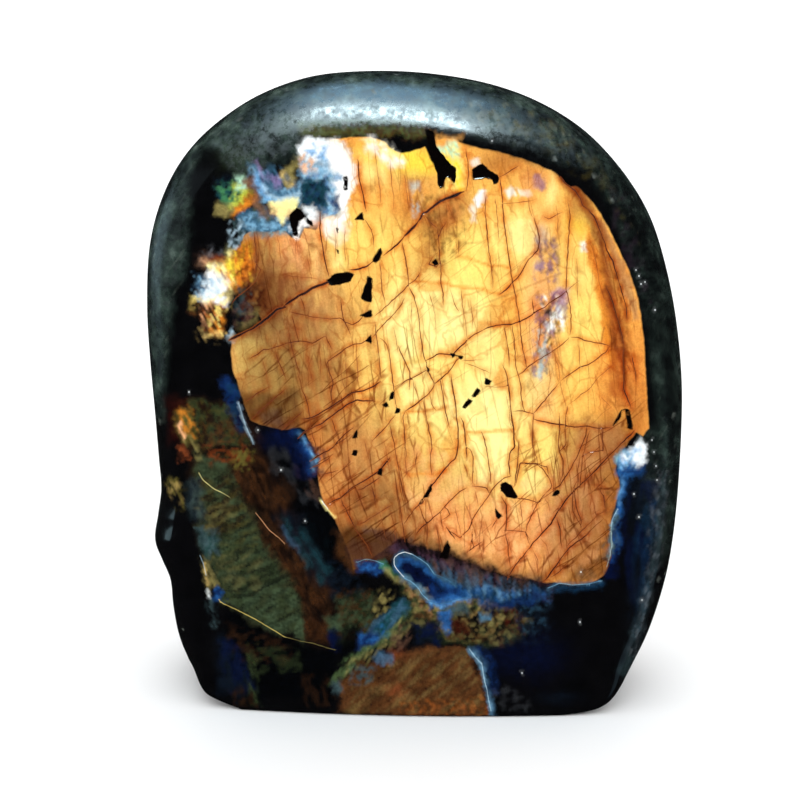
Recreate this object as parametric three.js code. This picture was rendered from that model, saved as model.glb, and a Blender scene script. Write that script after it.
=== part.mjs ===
// A free-form piece of polished labradorite that stands upright on its sawn base.
// Millimetres. +X is to the right of the polished face, +Y runs into the stone from the face, +Z is up.
// The origin is at the bottom centre of the stone's bounding box.
import * as THREE from "three";
import { mergeVertices } from "three/addons/utils/BufferGeometryUtils.js";

// The outline seen square on from the front, as [x, z]. The base is sawn straight between its two ends.
const BASE_LEFT = [-25, 0];
const BASE_RIGHT = [21.5, 0];
const RIGHT_SIDE = [[26.6, 0.9], [30.2, 3.3], [33.2, 7.8], [35.5, 13.6], [37.2, 20.2], [38.2, 28.5]];
const RIGHT_SHOULDER = [[38.5, 38.0], [38.2, 47.0], [37.0, 57.0], [35.0, 65.2], [32.5, 71.0], [28.8, 76.2]];
const TOP = [[23.8, 81.0], [17.6, 84.7], [10.3, 87.3], [2.0, 88.8], [-6.4, 89.2], [-14.8, 88.5]];
const LEFT_SHOULDER = [[-22.3, 85.9], [-28.7, 81.6], [-33.2, 76.8], [-36.2, 71.2], [-38.0, 64.5]];
const LEFT_SIDE = [[-38.5, 56.0], [-38.3, 48.0], [-37.8, 40.5], [-37.3, 34.5], [-36.9, 29.5]];
// A low ledge of natural rind that was left on the left side when the stone was ground.
const RIND_LEDGE = [[-37.4, 25.5], [-37.9, 22.0], [-37.0, 19.4], [-35.8, 16.4]];
const LEFT_FOOT = [[-35.4, 12.4], [-34.6, 8.4], [-33.1, 5.0], [-30.4, 2.0]];
const FACE_MIDDLE = [0, 42];

// The polished face leans back a little and is slightly crowned from side to side.
const FACE_AT_BASE = -17;
const FACE_LEAN = THREE.MathUtils.degToRad(8);
const FACE_CROWN = 3.5;
const FACE_CROWN_MIDDLE = 8;
const HALF_WIDTH = 38.5;

// The back is ground in broad flats. Each is a plane: its depth at the middle of the back, and how much
// the depth changes for each millimetre to the right and for each millimetre up.
const BACK_MIDDLE_HEIGHT = 45;
const BACK_FLATS = [
  { name: "main", depth: 16.6, across: 0.02, up: -0.01 },
  { name: "left", depth: 24.6, across: 0.33, up: -0.03 },
  { name: "right", depth: 26.2, across: -0.4, up: 0.03 },
  { name: "shoulder", depth: 20.6, across: 0.06, up: -0.2 },
  { name: "foot", depth: 25.6, across: -0.02, up: 0.25 },
];
const FLATS_BLEND = 2.4;

// How far each edge is rounded: inset is measured in from the outline, and depth into the stone.
const FRONT_EDGE = {
  base: { inset: 0.8, depth: 0.8 },
  side: { inset: 5.0, depth: 8.5 },
  top: { inset: 10.0, depth: 9.0 },
};
const BACK_EDGE = {
  base: { inset: 2.5, depth: 2.5 },
  side: { inset: 8.0, depth: 8.5 },
  top: { inset: 8.0, depth: 8.0 },
};
// A rounded edge is a superellipse. A fullness of 2 is a plain ellipse, and more starts more gently.
const EDGE_FULLNESS = 2.2;
// The base's tight rounding grows into the side's as the outline turns from facing down to facing sideways.
const BASE_ROUNDING_UNTIL = -0.98;
const SIDE_ROUNDING_FROM = -0.45;
const TOP_ROUNDING_POWER = 1.4;
const MOST_OF_THICKNESS = 0.45;

// Hand grinding leaves the sides and the back uneven: a long wave and a short one, each with its height
// and its lengths along x, y and z. Both fade out towards the base.
const LONG_WAVE = { height: 0.2, x: 9.5, y: 8, z: 11, phase: 0.8 };
const SHORT_WAVE = { height: 0.08, x: 4.6, y: 5.1, z: 5.3, phase: 1.9 };
const UNEVEN_FROM_HEIGHT = 8;

// The mesh: columns run round the outline, and rings run from the face's middle to the back's middle.
const COLUMNS = 128;
const FACE_RINGS = 6;
const FRONT_EDGE_RINGS = 8;
const WALL_RINGS = 2;
const BACK_EDGE_RINGS = 7;
const BACK_RINGS = 8;
const RINGS = FACE_RINGS + FRONT_EDGE_RINGS + WALL_RINGS + BACK_EDGE_RINGS + BACK_RINGS;
const MERGE_WITHIN = 1e-3;

const { clamp, lerp, smoothstep } = THREE.MathUtils;
const middle = new THREE.Vector2(...FACE_MIDDLE);

// The outline as one closed curve: along the base, up the right side, over the top and down the left side.
function drawOutline() {
  const rim = [...RIGHT_SIDE, ...RIGHT_SHOULDER, ...TOP, ...LEFT_SHOULDER, ...LEFT_SIDE];
  rim.push(...RIND_LEDGE, ...LEFT_FOOT, BASE_LEFT);
  const outline = new THREE.Shape();
  outline.moveTo(...BASE_LEFT);
  outline.lineTo(...BASE_RIGHT);
  outline.splineThru(rim.map(([x, z]) => new THREE.Vector2(x, z)));
  return outline;
}

// Depth of the polished face, before its edge is rounded.
function faceDepth(x, z) {
  const across = (x - FACE_CROWN_MIDDLE) / HALF_WIDTH;
  return FACE_AT_BASE + z * Math.tan(FACE_LEAN) + FACE_CROWN * across * across;
}

// The lower of two depths, blended over a short width as polishing does.
function softMin(a, b, width) {
  const h = clamp(0.5 + (0.5 * (b - a)) / width, 0, 1);
  return lerp(b, a, h) - width * h * (1 - h);
}

// Depth of the back, where the shallowest of its flats is the one that was ground last.
function backDepth(x, z) {
  const depths = BACK_FLATS.map((f) => f.depth + f.across * x + f.up * (z - BACK_MIDDLE_HEIGHT));
  return depths.reduce((a, b) => softMin(a, b, FLATS_BLEND));
}

// An edge's rounding where the outline faces up by this much: -1 on the base, 0 at a side and 1 on top.
function edgeRounding(edge, up) {
  const from = up < 0 ? edge.base : edge.side;
  const to = up < 0 ? edge.side : edge.top;
  const fromBase = smoothstep(up, BASE_ROUNDING_UNTIL, SIDE_ROUNDING_FROM);
  const share = up < 0 ? fromBase : Math.pow(up, TOP_ROUNDING_POWER);
  return { inset: lerp(from.inset, to.inset, share), depth: lerp(from.depth, to.depth, share) };
}

// How far in from the outline, and how far down from the surface, an edge is after this share of its turn.
function roundedEdge(edge, share) {
  const turn = (Math.PI / 2) * share;
  const across = Math.pow(Math.sin(turn), 2 / EDGE_FULLNESS);
  const down = Math.pow(Math.max(0, Math.cos(turn)), 2 / EDGE_FULLNESS);
  return { inset: edge.inset * (1 - across), drop: edge.depth * (1 - down) };
}

function unevenness(x, y, z) {
  const { x: longX, y: longY, z: longZ } = LONG_WAVE;
  const { x: shortX, y: shortY, z: shortZ } = SHORT_WAVE;
  const long = Math.sin(x / longX + LONG_WAVE.phase) * Math.sin(z / longZ) * Math.cos(y / longY);
  const short = Math.sin(x / shortX - z / shortZ + SHORT_WAVE.phase) * Math.cos(y / shortY);
  return (LONG_WAVE.height * long + SHORT_WAVE.height * short) * smoothstep(z, 0, UNEVEN_FROM_HEIGHT);
}

// The point that lies this far in from an outline point, towards the middle of the face.
function insetFrom(point, inset) {
  return point.clone().lerp(middle, inset / point.distanceTo(middle));
}

// One column's section, from the middle of the face to the middle of the back: how far in from the outline
// each station is, its depth, and how much of the unevenness it gets. The polished face gets none.
function sectionAt(point, up) {
  const reach = point.distanceTo(middle);
  const front = edgeRounding(FRONT_EDGE, up);
  const back = edgeRounding(BACK_EDGE, up);
  const thickness = backDepth(point.x, point.y) - faceDepth(point.x, point.y);
  front.depth = Math.min(front.depth, MOST_OF_THICKNESS * thickness);
  back.depth = Math.min(back.depth, MOST_OF_THICKNESS * thickness);

  const section = [];
  for (let k = 0; k < FACE_RINGS; k++) {
    const inset = lerp(reach, front.inset, k / FACE_RINGS);
    section.push({ inset, y: faceDepth(...insetFrom(point, inset)), uneven: 0 });
  }
  for (let k = 0; k <= FRONT_EDGE_RINGS; k++) {
    const share = k / FRONT_EDGE_RINGS;
    const { inset, drop } = roundedEdge(front, share);
    section.push({ inset, y: faceDepth(...insetFrom(point, inset)) + drop, uneven: smoothstep(share, 0, 1) });
  }
  const wallFront = section[section.length - 1].y;
  const wallBack = backDepth(point.x, point.y) - back.depth;
  for (let k = 1; k < WALL_RINGS; k++) {
    section.push({ inset: 0, y: lerp(wallFront, wallBack, k / WALL_RINGS), uneven: 1 });
  }
  for (let k = 0; k <= BACK_EDGE_RINGS; k++) {
    const { inset, drop } = roundedEdge(back, 1 - k / BACK_EDGE_RINGS);
    section.push({ inset, y: backDepth(...insetFrom(point, inset)) - drop, uneven: 1 });
  }
  for (let k = 1; k <= BACK_RINGS; k++) {
    const inset = lerp(back.inset, reach, k / BACK_RINGS);
    section.push({ inset, y: backDepth(...insetFrom(point, inset)), uneven: 1 });
  }
  return section;
}

// A sphere's closed mesh, with its columns and rings moved onto the stone.
function buildStone() {
  const outline = drawOutline();
  const geometry = new THREE.SphereGeometry(1, COLUMNS, RINGS);
  const position = geometry.getAttribute("position");
  for (let column = 0; column <= COLUMNS; column++) {
    const share = (column % COLUMNS) / COLUMNS;
    const point = outline.getPointAt(share);
    const along = outline.getTangentAt(share);
    for (const [ring, { inset, y, uneven }] of sectionAt(point, -along.x).entries()) {
      const { x, y: z } = insetFrom(point, inset);
      const rough = unevenness(x, y, z) * uneven;
      const sideways = rough * (1 - Math.min(1, inset / FRONT_EDGE.top.inset));
      const index = ring * (COLUMNS + 1) + column;
      position.setXYZ(index, x + along.y * sideways, y + rough - sideways, z - along.x * sideways);
    }
  }
  geometry.deleteAttribute("normal");
  geometry.deleteAttribute("uv");
  const stone = mergeVertices(geometry, MERGE_WITHIN);
  stone.computeBoundingBox();
  const { min, max } = stone.boundingBox;
  stone.translate(-(min.x + max.x) / 2, -(min.y + max.y) / 2, -min.z);
  stone.computeVertexNormals();
  return stone;
}

const labradorite = new THREE.MeshStandardMaterial({ color: 0x2b302c, roughness: 0.12, metalness: 0 });

const part = new THREE.Group();
const stone = new THREE.Mesh(buildStone(), labradorite);
stone.name = "stone";
part.add(stone);

export default part;
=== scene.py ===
# %% [markdown]
# # A polished labradorite on its sawn base
# Labradorite is a dark feldspar. Thin layers inside it split the light, so a polished face shows gold, green
# and blue fire over a nearly black stone. The whole object is one piece, so the lesson is about its skin:
# a fine mesh with real cracks and pits, the fire painted on it as strokes, and a polish that stays black
# between the flashes.

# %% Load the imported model
import math

import bpy
import numpy as np
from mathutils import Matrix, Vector, kdtree, noise
from mathutils.geometry import delaunay_2d_cdt


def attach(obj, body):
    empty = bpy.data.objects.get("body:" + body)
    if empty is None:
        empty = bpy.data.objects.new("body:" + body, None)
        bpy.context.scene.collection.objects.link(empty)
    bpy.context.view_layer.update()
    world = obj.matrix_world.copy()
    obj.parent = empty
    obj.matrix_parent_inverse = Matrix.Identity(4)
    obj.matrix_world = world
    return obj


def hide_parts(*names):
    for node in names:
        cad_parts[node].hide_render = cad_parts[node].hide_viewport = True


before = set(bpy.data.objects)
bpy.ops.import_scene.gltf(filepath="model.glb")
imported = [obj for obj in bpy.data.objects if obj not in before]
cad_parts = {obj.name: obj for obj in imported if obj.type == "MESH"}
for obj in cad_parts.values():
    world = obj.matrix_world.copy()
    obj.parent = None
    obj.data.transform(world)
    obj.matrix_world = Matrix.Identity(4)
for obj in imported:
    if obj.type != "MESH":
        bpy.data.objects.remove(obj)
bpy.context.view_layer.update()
MM = 0.001

# %% [markdown]
# ## The camera
# The picture was taken from a little above the stone, square on to its face. A long lens keeps the outline
# free of distortion. The camera comes first because the cracks and the fire are drawn in its frame:
# one unit of the drawing is a pixel of an 800 by 800 picture, counted from the top left corner.

# %% The camera at the drawing's viewing angle
IMAGE_SIDE = 800
LENS, SENSOR_WIDTH, CLIP_START = 100.0, 36.0, 0.01
VIEW_ELEVATION = math.radians(15)
VIEW_DISTANCE = 321.457
VIEW_TARGET = Vector((-2.103, -0.679, 42.466))

towards_camera = Vector((0, -math.cos(VIEW_ELEVATION), math.sin(VIEW_ELEVATION)))
eye = VIEW_TARGET + towards_camera * VIEW_DISTANCE
camera_data = bpy.data.cameras.new("camera")
camera_data.lens, camera_data.sensor_width = LENS, SENSOR_WIDTH
camera_data.clip_start = CLIP_START
camera = bpy.data.objects.new("camera", camera_data)
camera.location = eye * MM
camera.rotation_euler = (math.pi / 2 - VIEW_ELEVATION, 0, 0)
bpy.context.scene.collection.objects.link(camera)
bpy.context.scene.camera = camera

EYE = np.array(eye)
LOOK = -np.array(towards_camera)
PICTURE_UP = np.array((0, math.sin(VIEW_ELEVATION), math.cos(VIEW_ELEVATION)))
FOCAL = IMAGE_SIDE * LENS / SENSOR_WIDTH


def drawn_at(points):
    """Where points of the stone, in millimetres, are in the drawing."""
    ray = points - EYE
    depth = ray @ LOOK
    across = IMAGE_SIDE / 2 + FOCAL * ray[:, 0] / depth
    down = IMAGE_SIDE / 2 - FOCAL * (ray @ PICTURE_UP) / depth
    return np.stack([across, down], axis=1)


# %% [markdown]
# ## The shape of the stone
# The solid in the frame is the stone's shape with few faces. Its outline, face, back and rounded edges
# follow a handful of measures, so the same measures give a much finer skin for the picture here. The
# outline is one smooth curve through points on the rim, closed by the straight base.

# %% The outline, in millimetres
BASE_LEFT, BASE_RIGHT = (-25, 0), (21.5, 0)
RIGHT_SIDE = [(26.6, 0.9), (30.2, 3.3), (33.2, 7.8), (35.5, 13.6), (37.2, 20.2), (38.2, 28.5)]
RIGHT_SHOULDER = [(38.5, 38.0), (38.2, 47.0), (37.0, 57.0), (35.0, 65.2), (32.5, 71.0), (28.8, 76.2)]
TOP = [(23.8, 81.0), (17.6, 84.7), (10.3, 87.3), (2.0, 88.8), (-6.4, 89.2), (-14.8, 88.5)]
LEFT_SHOULDER = [(-22.3, 85.9), (-28.7, 81.6), (-33.2, 76.8), (-36.2, 71.2), (-38.0, 64.5)]
LEFT_SIDE = [(-38.5, 56.0), (-38.3, 48.0), (-37.8, 40.5), (-37.3, 34.5), (-36.9, 29.5)]
RIND_LEDGE = [(-37.4, 25.5), (-37.9, 22.0), (-37.0, 19.4), (-35.8, 16.4)]
LEFT_FOOT = [(-35.4, 12.4), (-34.6, 8.4), (-33.1, 5.0), (-30.4, 2.0)]
FACE_MIDDLE = np.array((0.0, 42.0))
CURVE_STEPS, BASE_STEPS = 60, 1200


def smooth_curve(corners, steps):
    """A curve through all the corners, with this many points from each corner to the next."""
    corners = np.array(corners, float)
    before, after = np.vstack([corners[:1], corners[:-2]]), np.vstack([corners[2:], corners[-1:]])
    t = np.linspace(0, 1, steps, endpoint=False)[:, None, None]
    start, end = corners[:-1], corners[1:]
    leave, arrive = (end - before) / 2, (after - start) / 2
    cubic, square = 2 * (start - end) + leave + arrive, 3 * (end - start) - 2 * leave - arrive
    points = ((cubic * t + square) * t + leave) * t + start
    return np.vstack([points.swapaxes(0, 1).reshape(-1, 2), corners[-1:]])


rim = [BASE_RIGHT, *RIGHT_SIDE, *RIGHT_SHOULDER, *TOP, *LEFT_SHOULDER]
rim += [*LEFT_SIDE, *RIND_LEDGE, *LEFT_FOOT, BASE_LEFT]
base_line = np.linspace(BASE_LEFT, BASE_RIGHT, BASE_STEPS, endpoint=False)
outline = np.vstack([base_line, smooth_curve(rim, CURVE_STEPS)[:-1]])
following = np.roll(outline, -1, axis=0)
heading = (following - outline) / np.linalg.norm(following - outline, axis=1, keepdims=True)
outline_lengths = np.concatenate([[0], np.cumsum(np.linalg.norm(following - outline, axis=1))])
print(f"outline: {outline_lengths[-1]:.1f} mm round")

# %% [markdown]
# The face leans back and is slightly crowned. The back is ground in flats, and where two flats meet the
# polishing has run them into each other. Each edge is rounded as part of a superellipse, tight at the base
# and wide at the top, so its size depends on which way the outline faces.

# %% Depths of the face and the back, and the rounded edges
FACE_AT_BASE, FACE_LEAN = -17.0, math.radians(8)
FACE_CROWN, FACE_CROWN_MIDDLE, HALF_WIDTH = 3.5, 8.0, 38.5
BACK_MIDDLE_HEIGHT, FLATS_BLEND = 45.0, 2.4
# Each flat of the back: its depth at the middle, and how much that changes for a millimetre across and up.
BACK_FLATS = [
    (16.6, 0.02, -0.01), (24.6, 0.33, -0.03), (26.2, -0.4, 0.03), (20.6, 0.06, -0.2), (25.6, -0.02, 0.25),
]
# Inset from the outline and depth into the stone, at the base, at the sides and on top.
FRONT_EDGE = {"inset": (0.8, 5.0, 10.0), "depth": (0.8, 8.5, 9.0)}
BACK_EDGE = {"inset": (2.5, 8.0, 8.0), "depth": (2.5, 8.5, 8.0)}
EDGE_FULLNESS = 2.2
BASE_ROUNDING_UNTIL, SIDE_ROUNDING_FROM, TOP_ROUNDING_POWER = -0.98, -0.45, 1.4
MOST_OF_THICKNESS = 0.45
LONG_WAVE = {"height": 0.2, "x": 9.5, "y": 8.0, "z": 11.0, "phase": 0.8}
SHORT_WAVE = {"height": 0.08, "x": 4.6, "y": 5.1, "z": 5.3, "phase": 1.9}
UNEVEN_FROM_HEIGHT = 8.0


def smoothstep(value, low, high):
    """0 up to low and 1 from high, with a smooth run between."""
    t = np.clip((value - low) / (high - low), 0, 1)
    return t * t * (3 - 2 * t)


def face_depth(x, z):
    across = (x - FACE_CROWN_MIDDLE) / HALF_WIDTH
    return FACE_AT_BASE + z * math.tan(FACE_LEAN) + FACE_CROWN * across * across


def back_depth(x, z):
    depth = None
    for at_middle, across, up in BACK_FLATS:
        flat = at_middle + across * x + up * (z - BACK_MIDDLE_HEIGHT)
        if depth is None:
            depth = flat
            continue
        h = np.clip(0.5 + 0.5 * (flat - depth) / FLATS_BLEND, 0, 1)
        depth = flat + (depth - flat) * h - FLATS_BLEND * h * (1 - h)
    return depth


def edge_size(sizes, up):
    """An edge's inset or depth where the outline faces up by this much: -1 on the base and 1 on top."""
    base, side, top = sizes
    from_base = smoothstep(up, BASE_ROUNDING_UNTIL, SIDE_ROUNDING_FROM)
    to_top = np.clip(up, 0, 1) ** TOP_ROUNDING_POWER
    return np.where(up < 0, base + (side - base) * from_base, side + (top - side) * to_top)


def unevenness(x, y, z):
    """How far hand grinding has left the sides and the back off their true shape."""
    w, s = LONG_WAVE, SHORT_WAVE
    long_wave = w["height"] * np.sin(x / w["x"] + w["phase"]) * np.sin(z / w["z"]) * np.cos(y / w["y"])
    short_wave = s["height"] * np.sin(x / s["x"] - z / s["z"] + s["phase"]) * np.cos(y / s["y"])
    return (long_wave + short_wave) * smoothstep(z, 0, UNEVEN_FROM_HEIGHT)


thickness = back_depth(*outline.T) - face_depth(*outline.T)
rounding = {}
for side, edge in (("front", FRONT_EDGE), ("back", BACK_EDGE)):
    facing_up = -heading[:, 0]
    depth = np.minimum(edge_size(edge["depth"], facing_up), MOST_OF_THICKNESS * thickness)
    rounding[side] = {"inset": edge_size(edge["inset"], facing_up), "depth": depth}
print(f"thickness at the outline: {thickness.min():.1f} to {thickness.max():.1f} mm")

# %% [markdown]
# A point of the face is found from its place in the outline's plane: how far it is inside the outline says
# how much of the edge's rounding it gets. The same rule runs backwards for the drawing. A pixel is a
# straight line of sight, and halving the stretch that holds the surface finds where it meets the stone.

# %% From the outline's plane to the surface, and from the drawing to the stone
angles = np.arctan2(*(outline - FACE_MIDDLE).T[::-1])
in_order = np.argsort(angles)
ends = angles[in_order[-1:]] - 2 * np.pi, angles[in_order[:1]] + 2 * np.pi
round_angles = np.concatenate([ends[0], angles[in_order], ends[1]])
HALVINGS = 22
SIGHT_FROM, SIGHT_TO = -40.0, 40.0


def round_table(values):
    """Values that are known round the outline, in the order of their angle at the face's middle."""
    return values[np.concatenate([in_order[-1:], in_order, in_order[:1]])]


reach_round = round_table(np.linalg.norm(outline - FACE_MIDDLE, axis=1))
heading_round = [round_table(heading[:, k]) for k in (0, 1)]
rounding = {side: {k: round_table(v) for k, v in edge.items()} for side, edge in rounding.items()}


def by_angle(x, z, table):
    """A table's value at the angle of each point."""
    return np.interp(np.arctan2(z - FACE_MIDDLE[1], x - FACE_MIDDLE[0]), round_angles, table)


def inside_outline(x, z):
    """How far inside the outline a point is."""
    return by_angle(x, z, reach_round) - np.hypot(x - FACE_MIDDLE[0], z - FACE_MIDDLE[1])


def true_surface(x, z, side="front"):
    """Depth of the face or the back with its rounded edge, and how far the edge has turned, from 0 to 1."""
    turned = np.clip(1 - inside_outline(x, z) / by_angle(x, z, rounding[side]["inset"]), 0, 1)
    fall = 1 - (1 - turned**EDGE_FULLNESS) ** (1 / EDGE_FULLNESS)
    drop = by_angle(x, z, rounding[side]["depth"]) * fall
    return (face_depth(x, z) + drop if side == "front" else back_depth(x, z) - drop), turned


def settle(x, y, z, uneven):
    """Moves points off their true shape by the unevenness: sideways at the outline and in depth inside it."""
    rough = unevenness(x, y, z) * uneven
    sideways = rough * (1 - np.clip(inside_outline(x, z) / max(FRONT_EDGE["inset"]), 0, 1))
    along_x, along_z = (by_angle(x, z, table) for table in heading_round)
    return np.stack([x + along_z * sideways, y + rough - sideways, z - along_x * sideways], axis=-1)


def surface(x, z, side="front"):
    """Points of the finished face or back."""
    y, turned = true_surface(x, z, side)
    share = np.arcsin(turned ** (EDGE_FULLNESS / 2)) / (np.pi / 2)
    return settle(x, y, z, smoothstep(share, 0, 1) if side == "front" else 1)


# The shape is centred over its base, as the solid in the frame is. A net of points every millimetre finds
# how far it reaches to the front and the back.
NET_ACROSS, NET_UP = np.linspace(-37, 37, 75), np.linspace(1, 88, 88)
at_x, at_z = (v.ravel() for v in np.meshgrid(NET_ACROSS, NET_UP))
within = inside_outline(at_x, at_z) > 0
front_y, back_y = (surface(at_x[within], at_z[within], side)[:, 1] for side in ("front", "back"))
rim_x = settle(outline[:, 0], np.zeros(len(outline)), outline[:, 1], 1)[:, 0]
CENTRING = np.array([-(rim_x.min() + rim_x.max()) / 2, -(front_y.min() + back_y.max()) / 2, 0])


def on_stone(drawn):
    """Where the lines of sight through places of the drawing meet the face, in the outline's plane."""
    slopes = (drawn - IMAGE_SIDE / 2) / FOCAL
    sight = LOOK + slopes[:, :1] * (1, 0, 0) - slopes[:, 1:] * PICTURE_UP
    sight = sight / sight[:, 1:2]
    start = EYE - CENTRING
    near, far = np.full(len(drawn), SIGHT_FROM), np.full(len(drawn), SIGHT_TO)
    for _ in range(HALVINGS):
        y = (near + far) / 2
        at = start + sight * (y - start[1])[:, None]
        in_front = true_surface(at[:, 0], at[:, 2])[0] > y
        near, far = np.where(in_front, y, near), np.where(in_front, far, y)
    return at[:, [0, 2]]


def pattern_place(x, z, side="front"):
    """Where a point in the outline's plane is in the drawing."""
    return drawn_at(np.stack([x, true_surface(x, z, side)[0], z], axis=-1) + CENTRING)


print("moved over its base by, mm:", CENTRING.round(3))
print("the drawing's middle on the stone, mm:", on_stone(np.full((1, 2), IMAGE_SIDE / 2)).round(2))

# %% [markdown]
# ## The cracks, drawn one by one
# The golden face is crossed by cleavage cracks. Most stand nearly upright, and a second set climbs to the
# right. No rule would place them, so they are drawn one by one. Each line is one crack: its kind, where
# that changes, and its places in the drawing. A kind is a half width in pixels and a strength.

# %% Kinds of cracks
CRACK_KINDS = {
    "faint": (0.75, 0.5), "hair": (0.85, 0.7), "crack": (0.95, 0.8), "strong": (1.2, 0.88), "gap": (2.3, 1.0),
}

# %% Cracks of the upper left
UPPER_LEFT_CRACKS = """
hair 254,233 255,243 257,258 255,274
faint 277,236 279,243 281,262
crack 320,213 320,230 322,243 323,250 325,263 329,277
faint 307,255 309,267 312,280
crack 358,160 359,178 363,194 366,210
hair 365,220 372,230 374,246
255,262 261,270 256,281 246,290 237,297 232,303
faint 283,275 300,277 318,279
gap 229,340 243,333 252,329 262,322 271,315 278,309 286,307
284,306 292,300 300,295 306,292 314,287 322,285 332,280
strong 351,270 360,269 366,267 372,262
384,255 391,250 398,244 404,237
gap 404,237 411,230 418,222
418,222 423,214 432,208 440,201 448,198 456,195 463,192
hair 402,243 405,255 407,268 409,287
409,287 414,297 418,312 420,330 422,345 424,358 427,363
437,228 439,245 440,258 441,270 441,283 443,292 443,305
faint 458,240 459,256
hair 380,262 381,275 382,290 385,302
faint 334,228 336,240 335,262
345,226 344,246 346,262
268,236 270,250 269,262
296,238 298,252
hair 437,228 430,222 424,214
faint 447,203 452,214 455,222 449,225
hair 446,222 441,231 437,240
faint 390,160 391,178 394,196 393,212
405,170 406,190 409,208
375,150 377,168 380,190 381,204
hair 432,258 429,264 436,267 441,262
"""

# %% Cracks of the upper right
UPPER_RIGHT_CRACKS = """
hair 466,150 468,165 469,175 466,190
499,177 507,173 513,169 518,166
486,195 485,215 487,230 488,245 490,258 492,270 493,288
500,178 502,195 503,210 505,230 508,250 510,265 512,280 515,293 517,305 519,315 520,322 521,335 523,350 \
526,362 527,368
faint 495,196 497,215 499,240
crack 534,218 537,228 540,240 538,250 530,258 525,265 520,275 512,283
strong 512,283 507,289 500,294
hair 568,200 570,215 569,230 568,245 567,262 566,290 569,300 571,315 571,328 570,336
544,217 549,219 556,215 562,212
faint 500,204 515,203 535,200
strong 560,176 566,184 575,190 580,198 583,206 588,209
588,209 594,217 600,230 607,250 613,262 619,282
crack 619,282 622,292 626,305 627,320
strong 606,286 611,297 615,310 619,322 622,335 624,345
crack 624,345 623,360 624,390 628,400 631,408
hair 627,365 631,372
632,355 634,365 637,382
faint 556,205 558,220 557,236
577,260 578,280 577,300
590,240 596,262 600,284 604,300
597,232 603,252 610,275
528,196 530,210 533,218
"""

# %% The long diagonals and what hangs from them
DIAGONAL_CRACKS = """
crack 426,360 433,357 440,353 452,355 460,347 467,340 475,334 483,330
483,330 490,327 498,325 512,324 520,322 530,316 537,311 545,307 553,300 561,296 567,291
faint 567,291 573,285 580,280
crack 435,384 443,377 448,373 452,368 457,360 462,357
hair 519,375 524,371 533,363 547,355 554,350 562,345 570,337
570,337 578,337 585,341 592,342 600,343 610,346
610,346 606,352 597,359 590,364 580,367 574,371 561,381
faint 612,366 605,372 598,378 590,388 582,394 574,401 568,405
hair 568,405 566,415 565,428
558,384 551,393 545,400 540,406 534,413
375,316 382,310 390,303 397,296 403,291 408,285 415,280 420,273
373,337 378,330 385,323 392,316 400,307 404,299
300,297 303,303 306,314
290,312 300,314 308,316 320,318 330,319 340,318 345,322 352,325 357,322 365,315
crack 370,338 362,343 352,345 345,349 337,355 328,361 327,364 330,374 333,382 331,392 332,405
hair 249,359 256,355 263,350 270,349 279,346 288,343 300,341 313,343 319,340 325,336
325,336 328,342 332,349
strong 380,382 372,387 363,391 351,393 341,400 331,407 322,412 311,418 302,419
375,401 366,401 357,400 347,405 337,412 329,418 321,424 312,428 303,433 298,438
353,428 345,434 338,441 333,448 325,452 318,456 311,461
hair 350,435 340,442 333,447
332,455 327,460 320,464 310,469
crack 285,389 278,395 269,403 259,412 251,420
269,387 258,393 247,401
302,412 293,420 282,430
strong 390,458 380,470 376,473 369,478 360,483 350,489 346,493 341,498 333,501 328,504
hair 380,477 372,483 364,488 355,491
320,475 330,473 338,471
strong 635,430 625,440 615,450 605,460 598,468 590,476 580,485 572,493 565,501 559,510 555,517 550,525 \
541,535 534,542 528,550
crack 528,550 520,560 512,570 508,578
hair 574,490 566,499 558,511
607,510 598,515 590,523 582,531 573,540 566,547
strong 590,532 580,540 570,547 562,557 555,567 548,577 543,583
hair 566,565 560,571 552,577
crack 451,375 452,385 455,400 456,410 457,420 458,430 458,445 457,452 455,459 450,463 446,468 441,474 \
436,480 432,485 428,495
421,503 415,508 410,515 404,524
435,384 431,391 426,396 420,401 412,407 405,411
hair 427,370 420,374 412,378 404,382 397,387
511,476 505,478 498,483 492,490 488,497 482,505 478,510 474,517 471,523 470,530
crack 466,488 460,492 453,498 446,505 440,512 432,519 427,523 420,529 417,533
hair 546,493 540,500 535,508 531,517 527,525 526,533 528,540 530,545
357,525 365,522 370,518 380,512 391,505
"""

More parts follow.
